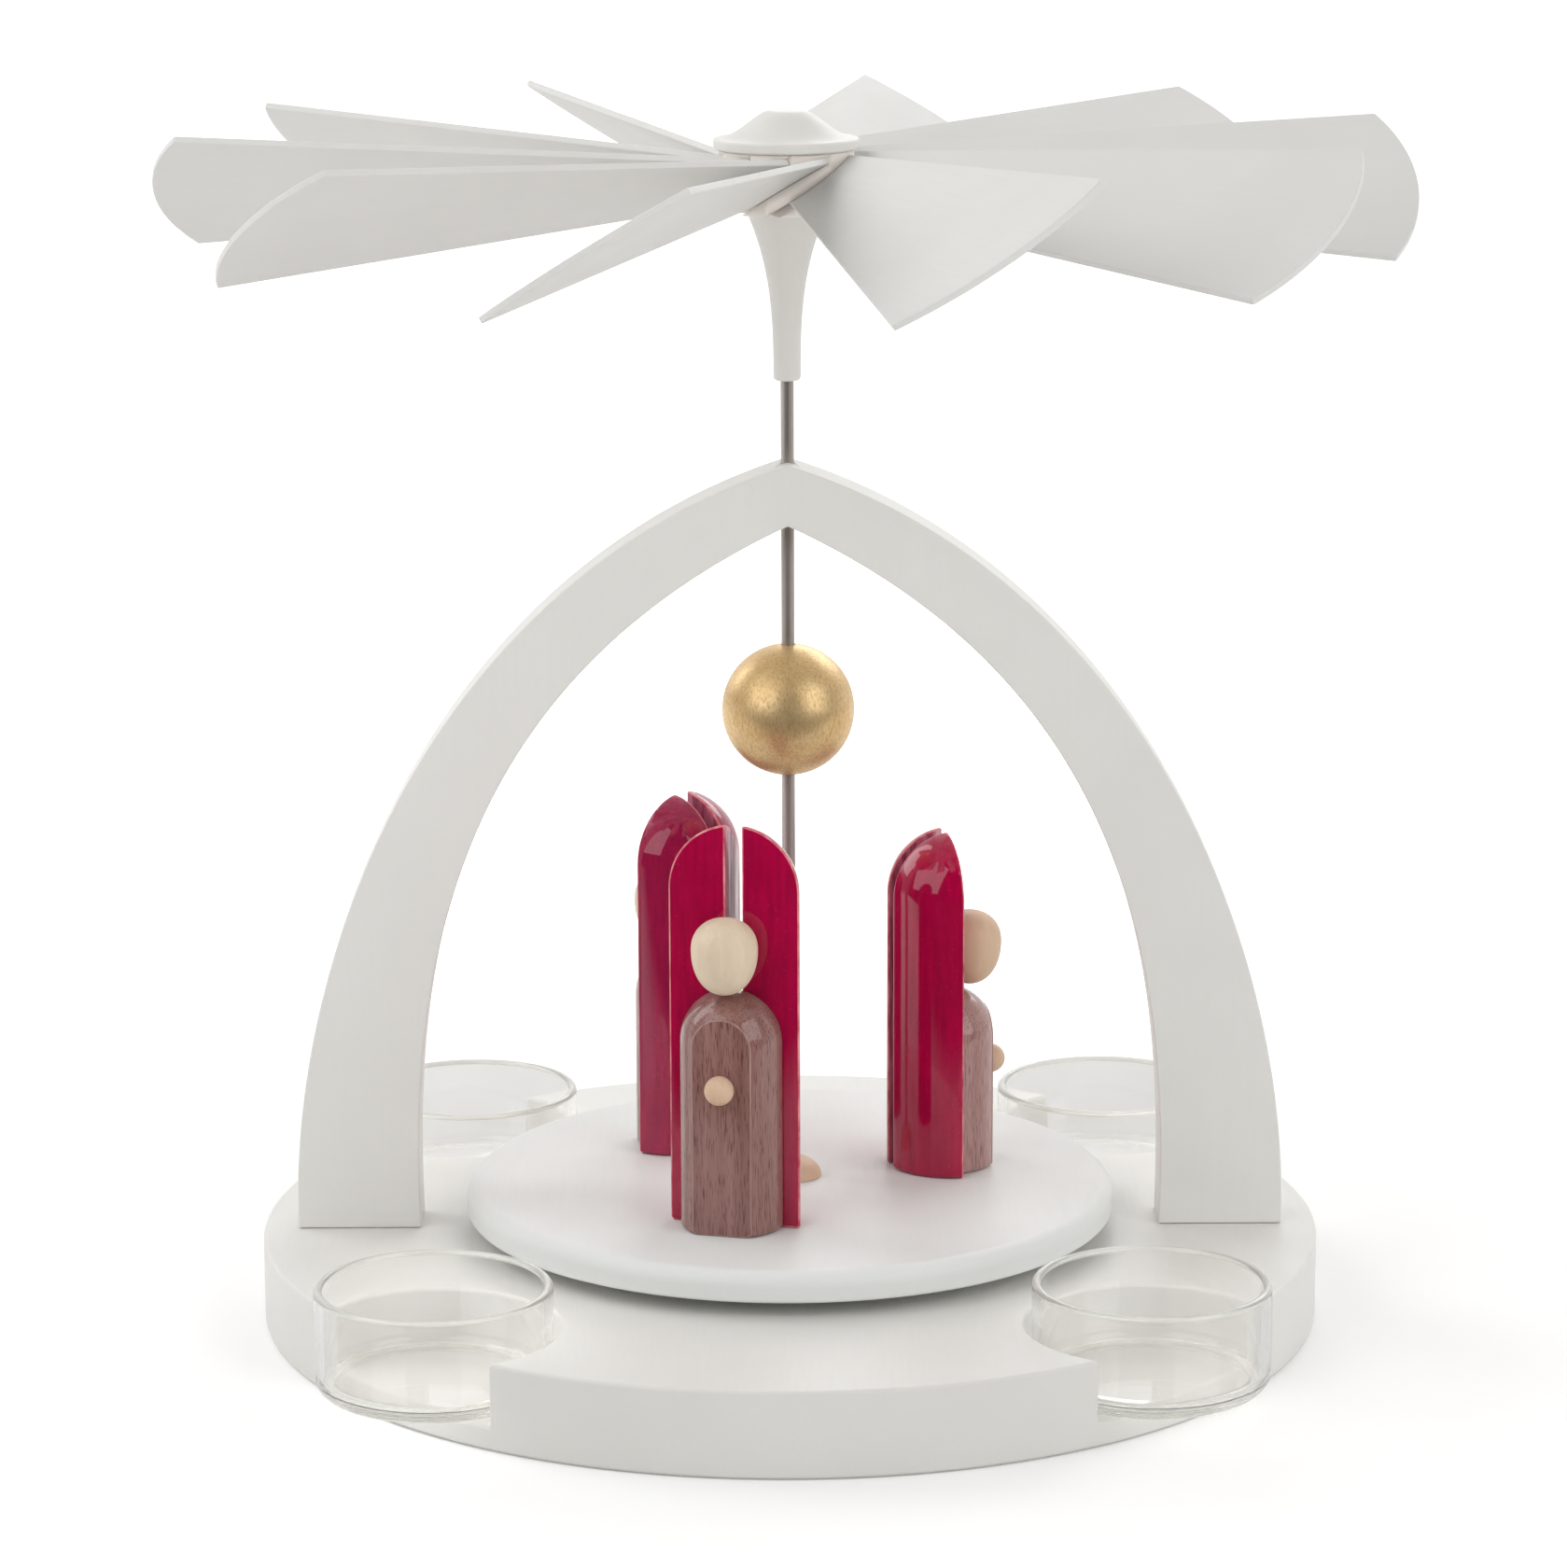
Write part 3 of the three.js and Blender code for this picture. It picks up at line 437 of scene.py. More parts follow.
def clear_glass():
    """Clear pressed glass, with the slightest waviness."""
    s = Shader("clear_glass", IOR=GLASS_IOR, Transmission_Weight=1)
    waves = s.noise((70, 70, 70), detail=1)
    s.colour(s.ramp(waves, (NOISE_LOW, GLASS_TINT), (NOISE_HIGH, GLASS_CLEAR)))
    s.rough(s.span(waves, 0, 0.012))
    return s.bump(waves, depth=0.12 * MM, strength=0.25).material


def painted_caught_light(name, clearness):
    """Thick edge of the glass, made cream and partly opaque: painted light for the light caught in it.
    """
    s = Shader(name, IOR=GLASS_IOR, Transmission_Weight=clearness)
    waves = s.noise((160, 160, 160), detail=2)
    s.colour(s.blend(waves, GLASS_PAINTED_EDGE_DARK, GLASS_PAINTED_EDGE_LIGHT))
    return s.rough(s.span(waves, 0.06, 0.14)).material


BASE_WHITE = white_lacquer("white_base", FLAT_GRAIN, (229, 228, 224))
# White of the table: a more neutral lacquer, made lighter than the base's partly as painted light on its
# top
TABLE_WHITE_PARTLY_PAINTED_LIT = white_lacquer("white_table_partly_painted_lit", FLAT_GRAIN, (233, 234, 232), gloss=0.2)
UPRIGHT_WHITE = white_lacquer("white_upright", UPRIGHT_GRAIN, (234, 233, 229))
TURNED_WHITE = white_lacquer("white_turned", UPRIGHT_GRAIN, (230, 228, 223))
# White of the hub: a warm lacquer, raised almost to full white as painted light against the blades'
# shade
HUB_WHITE_PAINTED_LIT = white_lacquer("white_hub_painted_lit", UPRIGHT_GRAIN, (247, 240, 233))
BLADE_WHITE = white_lacquer("white_blade", BLADE_GRAIN, (228, 227, 224), own_frame=True, gloss=0.06)
RED = red_lacquer("red_lacquer", (176, 0, 64))
# Lacquer of the rear figure: base colour made paler and bluer as a painted reflection haze
RED_PAINTED_HAZE = red_lacquer("red_lacquer_painted_haze", (162, 20, 71))
RED_EDGE_WEAR_AND_HIGHLIGHT = worn_and_highlit_edge()
KERF = kerf_lacquer()
STAINED = stained_wood("stained_wood", (149, 108, 102))
# Stain of the short figure's body: a lighter copy of the stain, painted light for the lamp it faces
STAINED_PAINTED_LIT = stained_wood("stained_wood_painted_lit", (174, 135, 130))
STAINED_EDGE = rubbed_stain()
PALE = pale_wood("pale_wood", (226, 207, 182))
WARM = pale_wood("pale_wood_warm", (218, 187, 159))
GOLD = gold_paint()
STEEL = drawn_steel()
BRASS = turned_brass()
GLASS = clear_glass()
GLASS_RIM_PAINTED_LIGHT = painted_caught_light("glass_rim_painted_light", 0.45)
GLASS_FOOT_PAINTED_LIGHT = painted_caught_light("glass_foot_painted_light", 0.7)

FINISHES = {  # lacquer, stain and natural wood of each figure
    "angel_1": (RED, STAINED, PALE),
    "angel_2": (RED, STAINED_PAINTED_LIT, WARM),
    "angel_3": (RED_PAINTED_HAZE, STAINED, PALE),
}


# Mesh helpers

def arc(centre, radius, start, end, steps=CORNER_STEPS):
    """Points of an arc round a centre, from one angle in degrees to another."""
    points = []
    for i in range(steps + 1):
        angle = math.radians(start + (end - start) * i / steps)
        points.append((centre[0] + radius * math.cos(angle), centre[1] + radius * math.sin(angle)))
    return points


def guarded(profile):
    """Profile with a point near each end of its long straight stretches."""
    points = [profile[0]]
    for start, end in zip(profile, profile[1:]):
        share = GUARD / max(math.dist(start, end), GUARD)
        if share < GUARD_LIMIT:
            for part in (share, 1 - share):
                points.append(tuple(a + (b - a) * part for a, b in zip(start, end)))
        points.append(end)
    return points


def lathe(profile, steps, closed=False):
    """Surface of revolution about Z from (radius, height) points; points on the axis become poles."""
    bm = bmesh.new()
    rings = []
    for radius, height in guarded(profile):
        if radius < ON_AXIS:
            rings.append([bm.verts.new((0, 0, height))] * steps)
            continue
        turns = [2 * math.pi * k / steps for k in range(steps)]
        rings.append([bm.verts.new((radius * math.cos(a), radius * math.sin(a), height)) for a in turns])
    following = rings[1:] + rings[:1] if closed else rings[1:]
    for lower, upper in zip(rings, following):
        for k in range(steps):
            n = (k + 1) % steps
            corners = list(dict.fromkeys((lower[k], lower[n], upper[n], upper[k])))
            if len(corners) > 2:
                bm.faces.new(corners)
    return bm


def prism(outline, low, high):
    """Board with vertical walls: a flat outline of (x, y) points between two heights."""
    bm = bmesh.new()
    lower = [bm.verts.new((x, y, low)) for x, y in outline]
    upper = [bm.verts.new((x, y, high)) for x, y in outline]
    bm.faces.new(lower)
    bm.faces.new(upper)
    for k, corner in enumerate(lower):
        n = (k + 1) % len(lower)
        bm.faces.new((corner, lower[n], upper[n], upper[k]))
    return bm


def slice_off(bm, point, normal, easing, face_material=0, rim_material=0):
    """Cuts off what lies beyond a plane, closes the cut with one flat face and rounds its rim."""
    normal = Vector(normal)
    cut = bmesh.ops.bisect_plane(
        bm, geom=bm.verts[:] + bm.edges[:] + bm.faces[:], dist=CUT_TOLERANCE,
        plane_co=Vector(point) - normal * easing, plane_no=normal, clear_outer=True,
    )
    rim = [e for e in cut["geom_cut"] if isinstance(e, bmesh.types.BMEdge)]
    closed = bmesh.ops.edgeloop_fill(bm, edges=rim)["faces"]
    for face in closed:
        face.material_index = face_material
        face.normal_update()
        if face.normal.dot(normal) < 0:
            face.normal_flip()
    for inward, outward in RIM_ROUNDING:
        strip = bmesh.ops.inset_individual(
            bm, faces=closed, thickness=inward * easing, depth=outward * easing, use_even_offset=True
        )
        for face in strip["faces"]:
            face.material_index = rim_material


def piece(name, bm, *materials):
    """Object of a bmesh, smooth except at its sharp edges."""
    bmesh.ops.recalc_face_normals(bm, faces=bm.faces)
    mesh = bpy.data.meshes.new(name)
    bm.to_mesh(mesh)
    bm.free()
    for material in materials:
        mesh.materials.append(material)
    mesh.polygons.foreach_set("use_smooth", [True] * len(mesh.polygons))
    mesh.set_sharp_from_angle(angle=math.radians(SMOOTH_ANGLE))
    obj = bpy.data.objects.new(name, mesh)
    bpy.context.scene.collection.objects.link(obj)
    return obj


def ease(obj, width, angle=EASE_ANGLE):
    """Rounds the sharp edges of a piece."""
    bevel = obj.modifiers.new("eased_edges", "BEVEL")
    bevel.width = width
    bevel.segments = EASE_SEGMENTS
    bevel.limit_method = "ANGLE"
    bevel.angle_limit = math.radians(angle)
    bevel.harden_normals = True
    return obj


def settle(obj):
    """Makes the result of the modifiers the mesh itself."""
    graph = bpy.context.evaluated_depsgraph_get()
    finished = bpy.data.meshes.new_from_object(obj.evaluated_get(graph))
    obj.modifiers.clear()
    obj.data = finished
    return obj


def carve(obj, *cutters):
    """Cuts the cutters' shapes out of a piece."""
    for cutter in cutters:
        cut = obj.modifiers.new("cut", "BOOLEAN")
        cut.operation = "DIFFERENCE"
        cut.solver = "EXACT"
        cut.object = cutter
    settle(obj)
    for cutter in cutters:
        bpy.data.objects.remove(cutter)
    return obj


def set_down(obj, place):
    """Puts a finished piece in its place, and keeps the frame that it was drawn in for its grain."""
    settle(obj)
    mesh = obj.data
    drawn = [c for vertex in mesh.vertices for c in vertex.co]
    mesh.attributes.new(OWN_FRAME, "FLOAT_VECTOR", "POINT").data.foreach_set("vector", drawn)
    mesh.transform(place)
    return obj


def stand_for(obj, node):
    """The piece takes the place of a node, on the node's body and with its finish."""
    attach(obj, BODY_OF[node])
    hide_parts(node)


# Stand

def glass_places():
    """Centre and radius of each glass, and the height of its foot."""
    places = []
    for i in range(1, GLASS_COUNT + 1):
        low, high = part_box(f"tealight_glass_{i}")
        places.append(((low + high) / 2, (high.x - low.x) / 2, low.z))
    return places


def on_circle(centre, radius, angles):
    """Points of a circle at angles in radians."""
    return [(centre[0] + radius * math.cos(a), centre[1] + radius * math.sin(a)) for a in angles]


def base_outlines(rim, pocket, centres):
    """Of each pocket: its wall, the rim below its mouth, and the rim from it to the next pocket."""
    ring = math.hypot(centres[0].x, centres[0].y)
    # Half the angle of a pocket's mouth, seen from the board's centre and from the pocket's
    mouth = math.acos((rim ** 2 + ring ** 2 - pocket ** 2) / (2 * rim * ring))
    inward = math.atan2(rim * math.sin(mouth), rim * math.cos(mouth) - ring)
    steps = BOARD_STEPS // len(centres)
    shares = [k / steps for k in range(steps + 1)]
    outlines = []
    for centre, following in zip(centres, centres[1:] + centres[:1]):
        azimuth = math.atan2(centre.y, centre.x)
        span = (math.atan2(following.y, following.x) - azimuth) % (2 * math.pi) - 2 * mouth
        turns = [azimuth + math.pi + (math.pi - inward) * (1 - 2 * share) for share in shares]
        bite = on_circle(centre, pocket, turns)
        lip = on_circle((0, 0), rim, [azimuth + mouth * (2 * share - 1) for share in shares])
        rest = on_circle((0, 0), rim, [azimuth + mouth + span * share for share in shares[1:-1]])
        outlines.append((bite, lip, rest))
    return outlines


def base_plate():
    """Round board whose pockets break through the rim, with eased edges."""
    low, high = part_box("base_plate")
    places = sorted(glass_places(), key=lambda g: math.atan2(g[0].y, g[0].x) % (2 * math.pi))
    _, glass_radius, foot = places[0]
    seat = foot - GLASS_SEAT_GAP
    outlines = base_outlines(high.x, glass_radius + POCKET_GAP, [g[0] for g in places])
    bm = bmesh.new()

    def row(points, height):
        return [bm.verts.new((x, y, height)) for x, y in points]

    def wall(below, above):
        for k in range(len(below) - 1):
            bm.faces.new((below[k], below[k + 1], above[k + 1], above[k]))

    upper, middle, lower = [], [], []
    for bite, lip, rest in outlines:
        bite_floor, bite_top = row(bite, seat), row(bite, high.z)
        lip_floor = [bite_floor[0]] + row(lip[1:-1], seat) + [bite_floor[-1]]
        lip_low = row(lip, low.z)
        wall(bite_floor, bite_top)
        wall(lip_low, lip_floor)
        bm.faces.new(bite_floor + lip_floor[-2:0:-1])
        upper.append((bite_top, row(rest, high.z)))
        middle.append((bite_floor, row(rest, seat)))
        lower.append((lip_low, row(rest, low.z)))
    for i in range(len(outlines)):
        n = (i + 1) % len(outlines)
        rows = []
        for level in (lower, middle, upper):
            rows.append([level[i][0][-1]] + level[i][1] + [level[n][0][0]])
        for below, above in zip(rows, rows[1:]):
            wall(below, above)
    for level in (upper, lower):
        bm.faces.new([v for part in level for group in part for v in group])
    return ease(piece("base_plate_lacquered", bm, BASE_WHITE), BASE_EDGE)


def bezier(start, first, second, end):
    """Points of a cubic curve with two handles, without its end."""
    points = []
    for k in range(ARCH_STEPS):
        t = k / ARCH_STEPS
        weights = ((1 - t) ** 3, 3 * t * (1 - t) ** 2, 3 * t ** 2 * (1 - t), t ** 3)
        corners = (start, first, second, end)
        points.append(tuple(sum(w * c[i] for w, c in zip(weights, corners)) for i in (0, 1)))
    return points


def arch():
    """Pointed arch from one board, with the shaft's hole through its apex."""
    low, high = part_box("arch")
    outer = high.x
    inner = outer - ARCH_FOOT_WIDTH
    rise = high.z - low.z
    inner_rise = rise - ARCH_APEX_THICKNESS

    def outer_limb(side):
        lower_handle = (side * (outer + OUTER_FOOT_LEAN), OUTER_FOOT_HANDLE)
        upper_handle = (side * OUTER_APEX_REACH, rise - OUTER_APEX_DROP)
        return bezier((side * outer, 0), lower_handle, upper_handle, (0, rise))

    def inner_limb(side):
        lower_handle = (side * (inner + INNER_FOOT_LEAN), INNER_FOOT_HANDLE)
        upper_handle = (side * INNER_APEX_REACH, inner_rise - INNER_APEX_DROP)
        return bezier((side * inner, 0), lower_handle, upper_handle, (0, inner_rise))

    outline = outer_limb(1) + [(0, rise)] + outer_limb(-1)[::-1]
    outline += inner_limb(-1) + [(0, inner_rise)] + inner_limb(1)[::-1]
    bm = prism(outline, low.y, high.y)
    bmesh.ops.rotate(bm, verts=bm.verts, matrix=Matrix.Rotation(math.pi / 2, 3, "X"))
    bmesh.ops.translate(bm, verts=bm.verts, vec=(0, 0, low.z))
    board = settle(ease(piece("arch_lacquered", bm, UPRIGHT_WHITE), ARCH_EDGE, ARCH_EASE_ANGLE))
    hole = SHAFT_RADIUS + ARCH_HOLE_GAP
    profile = [(0, low.z), (hole, low.z), (hole, high.z + hole), (0, high.z + hole)]
    return carve(board, piece("arch_hole", lathe(profile, SMALL_STEPS)))


# Rotor

def shaft():
    """Rod with a ground point below and a chamfer above."""
    low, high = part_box("shaft")
    profile = [(0, low.z), (SHAFT_RADIUS, low.z + SHAFT_POINT_LENGTH)]
    profile += [(SHAFT_RADIUS, high.z - SHAFT_CHAMFER), (SHAFT_RADIUS - SHAFT_CHAMFER, high.z)]
    profile += [(0, high.z)]
    return piece("shaft_drawn", lathe(profile, SMALL_STEPS), STEEL)


def turntable():
    """Thin disc with a rounded rim."""
    low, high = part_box("turntable")
    lower, upper = TABLE_LOWER_ROUNDING, TABLE_TOP_ROUNDING
    profile = [(BORE, low.z)]
    profile += arc((high.x - lower, low.z + lower), lower, -90, 0)
    profile += arc((high.x - upper, high.z - upper), upper, 0, 90, ROUNDING_STEPS)
    profile += [(BORE, high.z)]
    return piece("turntable_lacquered", lathe(profile, BOARD_STEPS, closed=True), TABLE_WHITE_PARTLY_PAINTED_LIT)


def boss():
    """Low dome round the shaft."""
    low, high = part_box("turntable_boss")
    mouth = math.acos(BORE / high.x)
    height = (high.z - low.z) / math.sin(mouth)
    profile = [(BORE, low.z)]
    for radius, rise in arc((0, 0), 1, 0, math.degrees(mouth), BEAD_STEPS):
        profile.append((high.x * radius, low.z + height * rise))
    return piece("turntable_boss_turned", lathe(profile, TURNED_STEPS, closed=True), WARM)


def gold_ball():
    """Ball with a flat ring round each mouth of its bore."""
    low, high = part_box("gold_ball")
    centre, radius = (low.z + high.z) / 2, high.x
    mouth = math.degrees(math.acos((BORE + BALL_BORE_FLAT) / radius))
    profile = arc((0, centre), radius, -mouth, mouth, BALL_STEPS)
    profile = [(BORE, profile[0][1])] + profile + [(BORE, profile[-1][1])]
    return piece("gold_ball_painted", lathe(profile, TURNED_STEPS, closed=True), GOLD)


def bullet(radius, height):
    """Turned column with an eased foot and a half-round top."""
    profile = [(0, 0), (radius - FOOT_EDGE, 0), (radius, FOOT_EDGE)]
    profile += arc((0, height - radius), radius, 0, 90, COLUMN_TOP_STEPS)[:-1]
    return lathe(profile + [(0, height)], FIGURE_STEPS)


def wing(name, height, side, lacquer):
    """Quarter of a column, in front of which the body stands; the kerf's wall keeps its saw lines."""
    bm = bullet(WING_RADIUS, height)
    half = WING_GAP / 2
    front, kerf, edge = range(3)  # material slots
    slice_off(bm, (-half, 0, 0), (1, 0, 0), WING_EDGE, front, edge)
    slice_off(bm, (0, side * half, 0), (0, -side, 0), WING_EDGE, kerf, edge)
    return piece(name, bm, lacquer, KERF, RED_EDGE_WEAR_AND_HIGHLIGHT)


def body(name, height, stain):
    """Half of a column, with a flat shaved off its front."""
    bm = bullet(BODY_RADIUS, height)
    flat, edge = range(2)  # material slots
    slice_off(bm, (0, 0, 0), (-1, 0, 0), BODY_EDGE, flat, edge)
    slice_off(bm, (BODY_DEPTH, 0, 0), (1, 0, 0), BODY_EDGE, flat, edge)
    return piece(name, bm, stain, STAINED_EDGE)


def head(name, chin, wood):
    """Smooth egg with its narrow end down and a flat back."""
    profile = []
    for i in range(-HEAD_STEPS, HEAD_STEPS + 1):
        share = math.sin(math.pi / 2 * i / HEAD_STEPS)
        radius = HEAD_RADIUS * max(0, 1 - abs(share) ** HEAD_FULLNESS) ** (1 / HEAD_FULLNESS)
        reach = HEAD_CROWN if i > 0 else HEAD_CHIN
        profile.append((radius, chin + HEAD_CHIN + reach * share))
    bm = lathe(profile, FIGURE_STEPS)
    slice_off(bm, (-HEAD_BACK, 0, 0), (-1, 0, 0), HEAD_EDGE)
    return piece(name, bm, wood)


def hand(name, radius, height):
    """Bead that stands proud of the body's front."""
    bm = lathe(arc((0, height), radius, -90, 90, BEAD_STEPS), FIGURE_STEPS)
    return piece(name, bm, WARM)


def figure(name, lacquer, stain, wood, radius, azimuth, turn, aside):
    """One angel, built facing +X and then set on the turntable."""
    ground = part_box(f"{name}_body")[0].z
    turned = math.radians(azimuth + turn)
    place = Matrix.Translation(Vector((radius, 0, ground)))
    place = Matrix.Rotation(math.radians(azimuth), 4, "Z") @ place
    place = Matrix.Translation(place.translation) @ Matrix.Rotation(turned, 4, "Z")
    body_low, body_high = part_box(f"{name}_body")
    height = body_high.z - body_low.z
    back = -WING_GAP / 2 + GLUE_LINE
    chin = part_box(f"{name}_head")[0].z - ground
    hand_low, hand_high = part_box(f"{name}_hand")
    hand_radius = (hand_high.z - hand_low.z) / 2
    hand_height = (hand_low.z + hand_high.z) / 2 - ground
    hand_forward = back + BODY_DEPTH + HAND_PROUD - hand_radius
    wing_height = height + WING_ABOVE_BODY
    made = [
        (wing(f"{name}_wing_left_lacquered", wing_height, 1, lacquer), "wing_left", 0, 0),
        (wing(f"{name}_wing_right_lacquered", wing_height, -1, lacquer), "wing_right", 0, 0),
        (body(f"{name}_body_stained", height, stain), "body", back, aside),
        (head(f"{name}_head_turned", chin, wood), "head", back + HEAD_BACK, aside),
        (hand(f"{name}_hand_turned", hand_radius, hand_height), "hand", hand_forward, aside),
    ]
    for obj, part, forward, sideways in made:
        set_down(obj, place @ Matrix.Translation((forward, sideways, 0)))
        stand_for(obj, f"{name}_{part}")


# Fan

def fan_neck():
    """Turned trumpet with a rounded tip below and a spigot above."""
    low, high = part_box("fan_neck")
    top = high.z - SPIGOT_LENGTH - GLUE_LINE
    tip = low.z + NECK_TIP_ROUNDING
    profile = [(BORE, low.z)]
    profile += arc((NECK_TIP_RADIUS - NECK_TIP_ROUNDING, tip), NECK_TIP_ROUNDING, -90, 0)[:-1]
    for k in range(SWEEP_STEPS + 1):
        share = k / SWEEP_STEPS
        radius = NECK_TIP_RADIUS + (high.x - NECK_TIP_RADIUS) * share ** NECK_FLARE
        profile.append((radius, tip + (top - tip) * share))
    profile += [(SPIGOT_RADIUS, top), (SPIGOT_RADIUS, high.z), (BORE, high.z)]
    return piece("fan_neck_lacquered", lathe(profile, TURNED_STEPS, closed=True), TURNED_WHITE)


def blade_place(azimuth, plane):
    """Place of a blade or its slot: drawn flat along +X, then pitched and turned."""
    turn = Matrix.Rotation(azimuth, 4, "Z") @ Matrix.Rotation(BLADE_PITCH, 4, "X")
    return Matrix.Translation((0, 0, plane)) @ turn


def fan_hub(plane):
    """Disc with a slanted saw slot for each blade."""
    low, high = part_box("fan_hub")
    profile = [(BORE, low.z), (high.x, low.z), (high.x, high.z), (BORE, high.z)]
    disc = piece("fan_hub_lacquered", lathe(profile, TURNED_STEPS, closed=True), HUB_WHITE_PAINTED_LIT)
    settle(ease(disc, HUB_EDGE))
    reach = 2 * high.x
    half = BLADE_THICKNESS / 2 + SLOT_GAP
    corners = [(HUB_CORE_RADIUS, -reach), (reach, -reach), (reach, reach), (HUB_CORE_RADIUS, reach)]
    slots = []
    for i in range(BLADE_COUNT):
        slot = piece(f"slot_{i}", prism(corners, -half, half))
        slot.matrix_world = blade_place(2 * math.pi * i / BLADE_COUNT, plane)
        slots.append(slot)
    bpy.context.view_layer.update()
    return carve(disc, *slots)


def fan_blade(name, tip):
    """Flat board that widens from its root to a round tip."""
    low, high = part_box("fan_hub")
    slope = math.sin(BLADE_PITCH)
    root = HUB_CORE_RADIUS + SLOT_GAP
    leading = (high.z - low.z - ROOT_TOP_MARGIN - BLADE_PLANE_HEIGHT) / slope
    trailing = (BLADE_PLANE_HEIGHT - ROOT_BOTTOM_MARGIN) / slope
    half = BLADE_TIP_WIDTH / 2
    crown = tip - BLADE_CORNER_RADIUS
    radius = (half ** 2 + crown ** 2) / (2 * crown)
    sweep = math.degrees(math.asin(half / radius))
    outline = [(root, -trailing)]
    outline += arc((tip - radius, 0), radius, -sweep, sweep, SWEEP_STEPS)
    outline += [(root, leading)]
    bm = prism(outline, -BLADE_THICKNESS / 2, BLADE_THICKNESS / 2)
    return ease(piece(name, bm, BLADE_WHITE), BLADE_EDGE)


def fan_cap():
    """Turned hat whose brim sweeps up to a flat top."""
    low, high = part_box("fan_cap")
    under = low.z + SPIGOT_LENGTH + GLUE_LINE
    brim_top = under + CAP_BRIM_THICKNESS
    brim = high.x - CAP_BRIM_EDGE
    profile = [(0, low.z), (SPIGOT_RADIUS, low.z), (SPIGOT_RADIUS, under)]
    profile += arc((brim, under + CAP_BRIM_EDGE), CAP_BRIM_EDGE, -90, 0)
    profile += arc((brim, brim_top - CAP_BRIM_EDGE), CAP_BRIM_EDGE, 0, CAP_BRIM_SWEEP)
    for k in range(SWEEP_STEPS + 1):
        share = 1 - k / SWEEP_STEPS
        rise = (1 + math.cos(math.pi * share ** CAP_SHOULDER)) / 2
        radius = CAP_TOP_RADIUS + (brim - CAP_TOP_RADIUS) * share
        profile.append((radius, brim_top + (high.z - brim_top) * rise))
    return piece("fan_cap_lacquered", lathe(profile + [(0, high.z)], TURNED_STEPS), TURNED_WHITE)


def fan():
    """Neck, hub, cap and a blade in each slot of the hub."""
    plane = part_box("fan_hub")[0].z + BLADE_PLANE_HEIGHT
    stand_for(fan_neck(), "fan_neck")
    stand_for(fan_hub(plane), "fan_hub")
    stand_for(fan_cap(), "fan_cap")
    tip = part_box("fan_blade_01")[1].x
    for i in range(BLADE_COUNT):
        node = f"fan_blade_{i + 1:02d}"
        blade = fan_blade(f"{node}_lacquered", tip)
        stand_for(set_down(blade, blade_place(2 * math.pi * i / BLADE_COUNT, plane)), node)


# Glasses

def tealight_glass(name, radius, height):
    """Thick-floored cup with a round rim, standing on z = 0."""
    outer, inner, rim = GLASS_OUTER_CORNER, GLASS_INNER_CORNER, GLASS_WALL / 2
    inside = radius - GLASS_WALL - inner
    profile = [(0, 0)]
    profile += arc((radius - outer, outer), outer, -90, 0, ROUNDING_STEPS)
    profile += arc((radius - rim, height - rim), rim, 0, 180, ROUNDING_STEPS)
    profile += arc((inside, GLASS_FLOOR + inner), inner, 0, -90, ROUNDING_STEPS)
    bm = lathe(profile + [(0, GLASS_FLOOR)], TURNED_STEPS)
    _, rim_slot, foot_slot = range(3)  # material slots
    for face in bm.faces:
        centre = face.calc_center_median()
        if centre.z > height - rim:
            face.material_index = rim_slot
        elif centre.z < GLASS_FLOOR / 2 and math.hypot(centre.x, centre.y) > radius - outer:
            face.material_index = foot_slot
    return piece(name, bm, GLASS, GLASS_RIM_PAINTED_LIGHT, GLASS_FOOT_PAINTED_LIGHT)


def glasses():
    """The glasses, which let the light through to the base without a shadow."""
    for i in range(1, GLASS_COUNT + 1):
        node = f"tealight_glass_{i}"
        low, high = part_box(node)
        glass = tealight_glass(f"{node}_clear", (high.x - low.x) / 2, high.z - low.z)
        glass.visible_shadow = False
        centre = (low + high) / 2
        stand_for(set_down(glass, Matrix.Translation((centre.x, centre.y, low.z))), node)


def hidden_pieces():
    """Pieces inside the others keep their solids and get their finish."""
    finishes = {"arch_dowel": PALE, "foot_dowel": PALE, "bearing_cup": BRASS, "arch_bush": BRASS}
    for node, obj in frame["nodes"].items():
        for key, material in finishes.items():
            if key in node:
                obj.data.materials.clear()
                obj.data.materials.append(material)


# Stage

CAMERA_FOCUS = 5513.5  # focal length in the photograph's pixels
PHOTO_WIDTH = 1679
PHOTO_HEIGHT = 1680
CAMERA_DISTANCE = 1140.55 * MM  # level distance from the shaft
CAMERA_HEIGHT = 376.77 * MM
CAMERA_PITCH = 0.21954  # radians below level
CAMERA_TURN = 0.00712  # radians round the object
CAMERA_ROLL = -0.003365
CAMERA_CENTRE = 844.81  # column of the optical axis in the photograph
CAMERA_REACH = 100
SENSOR = 36  # width in millimetres


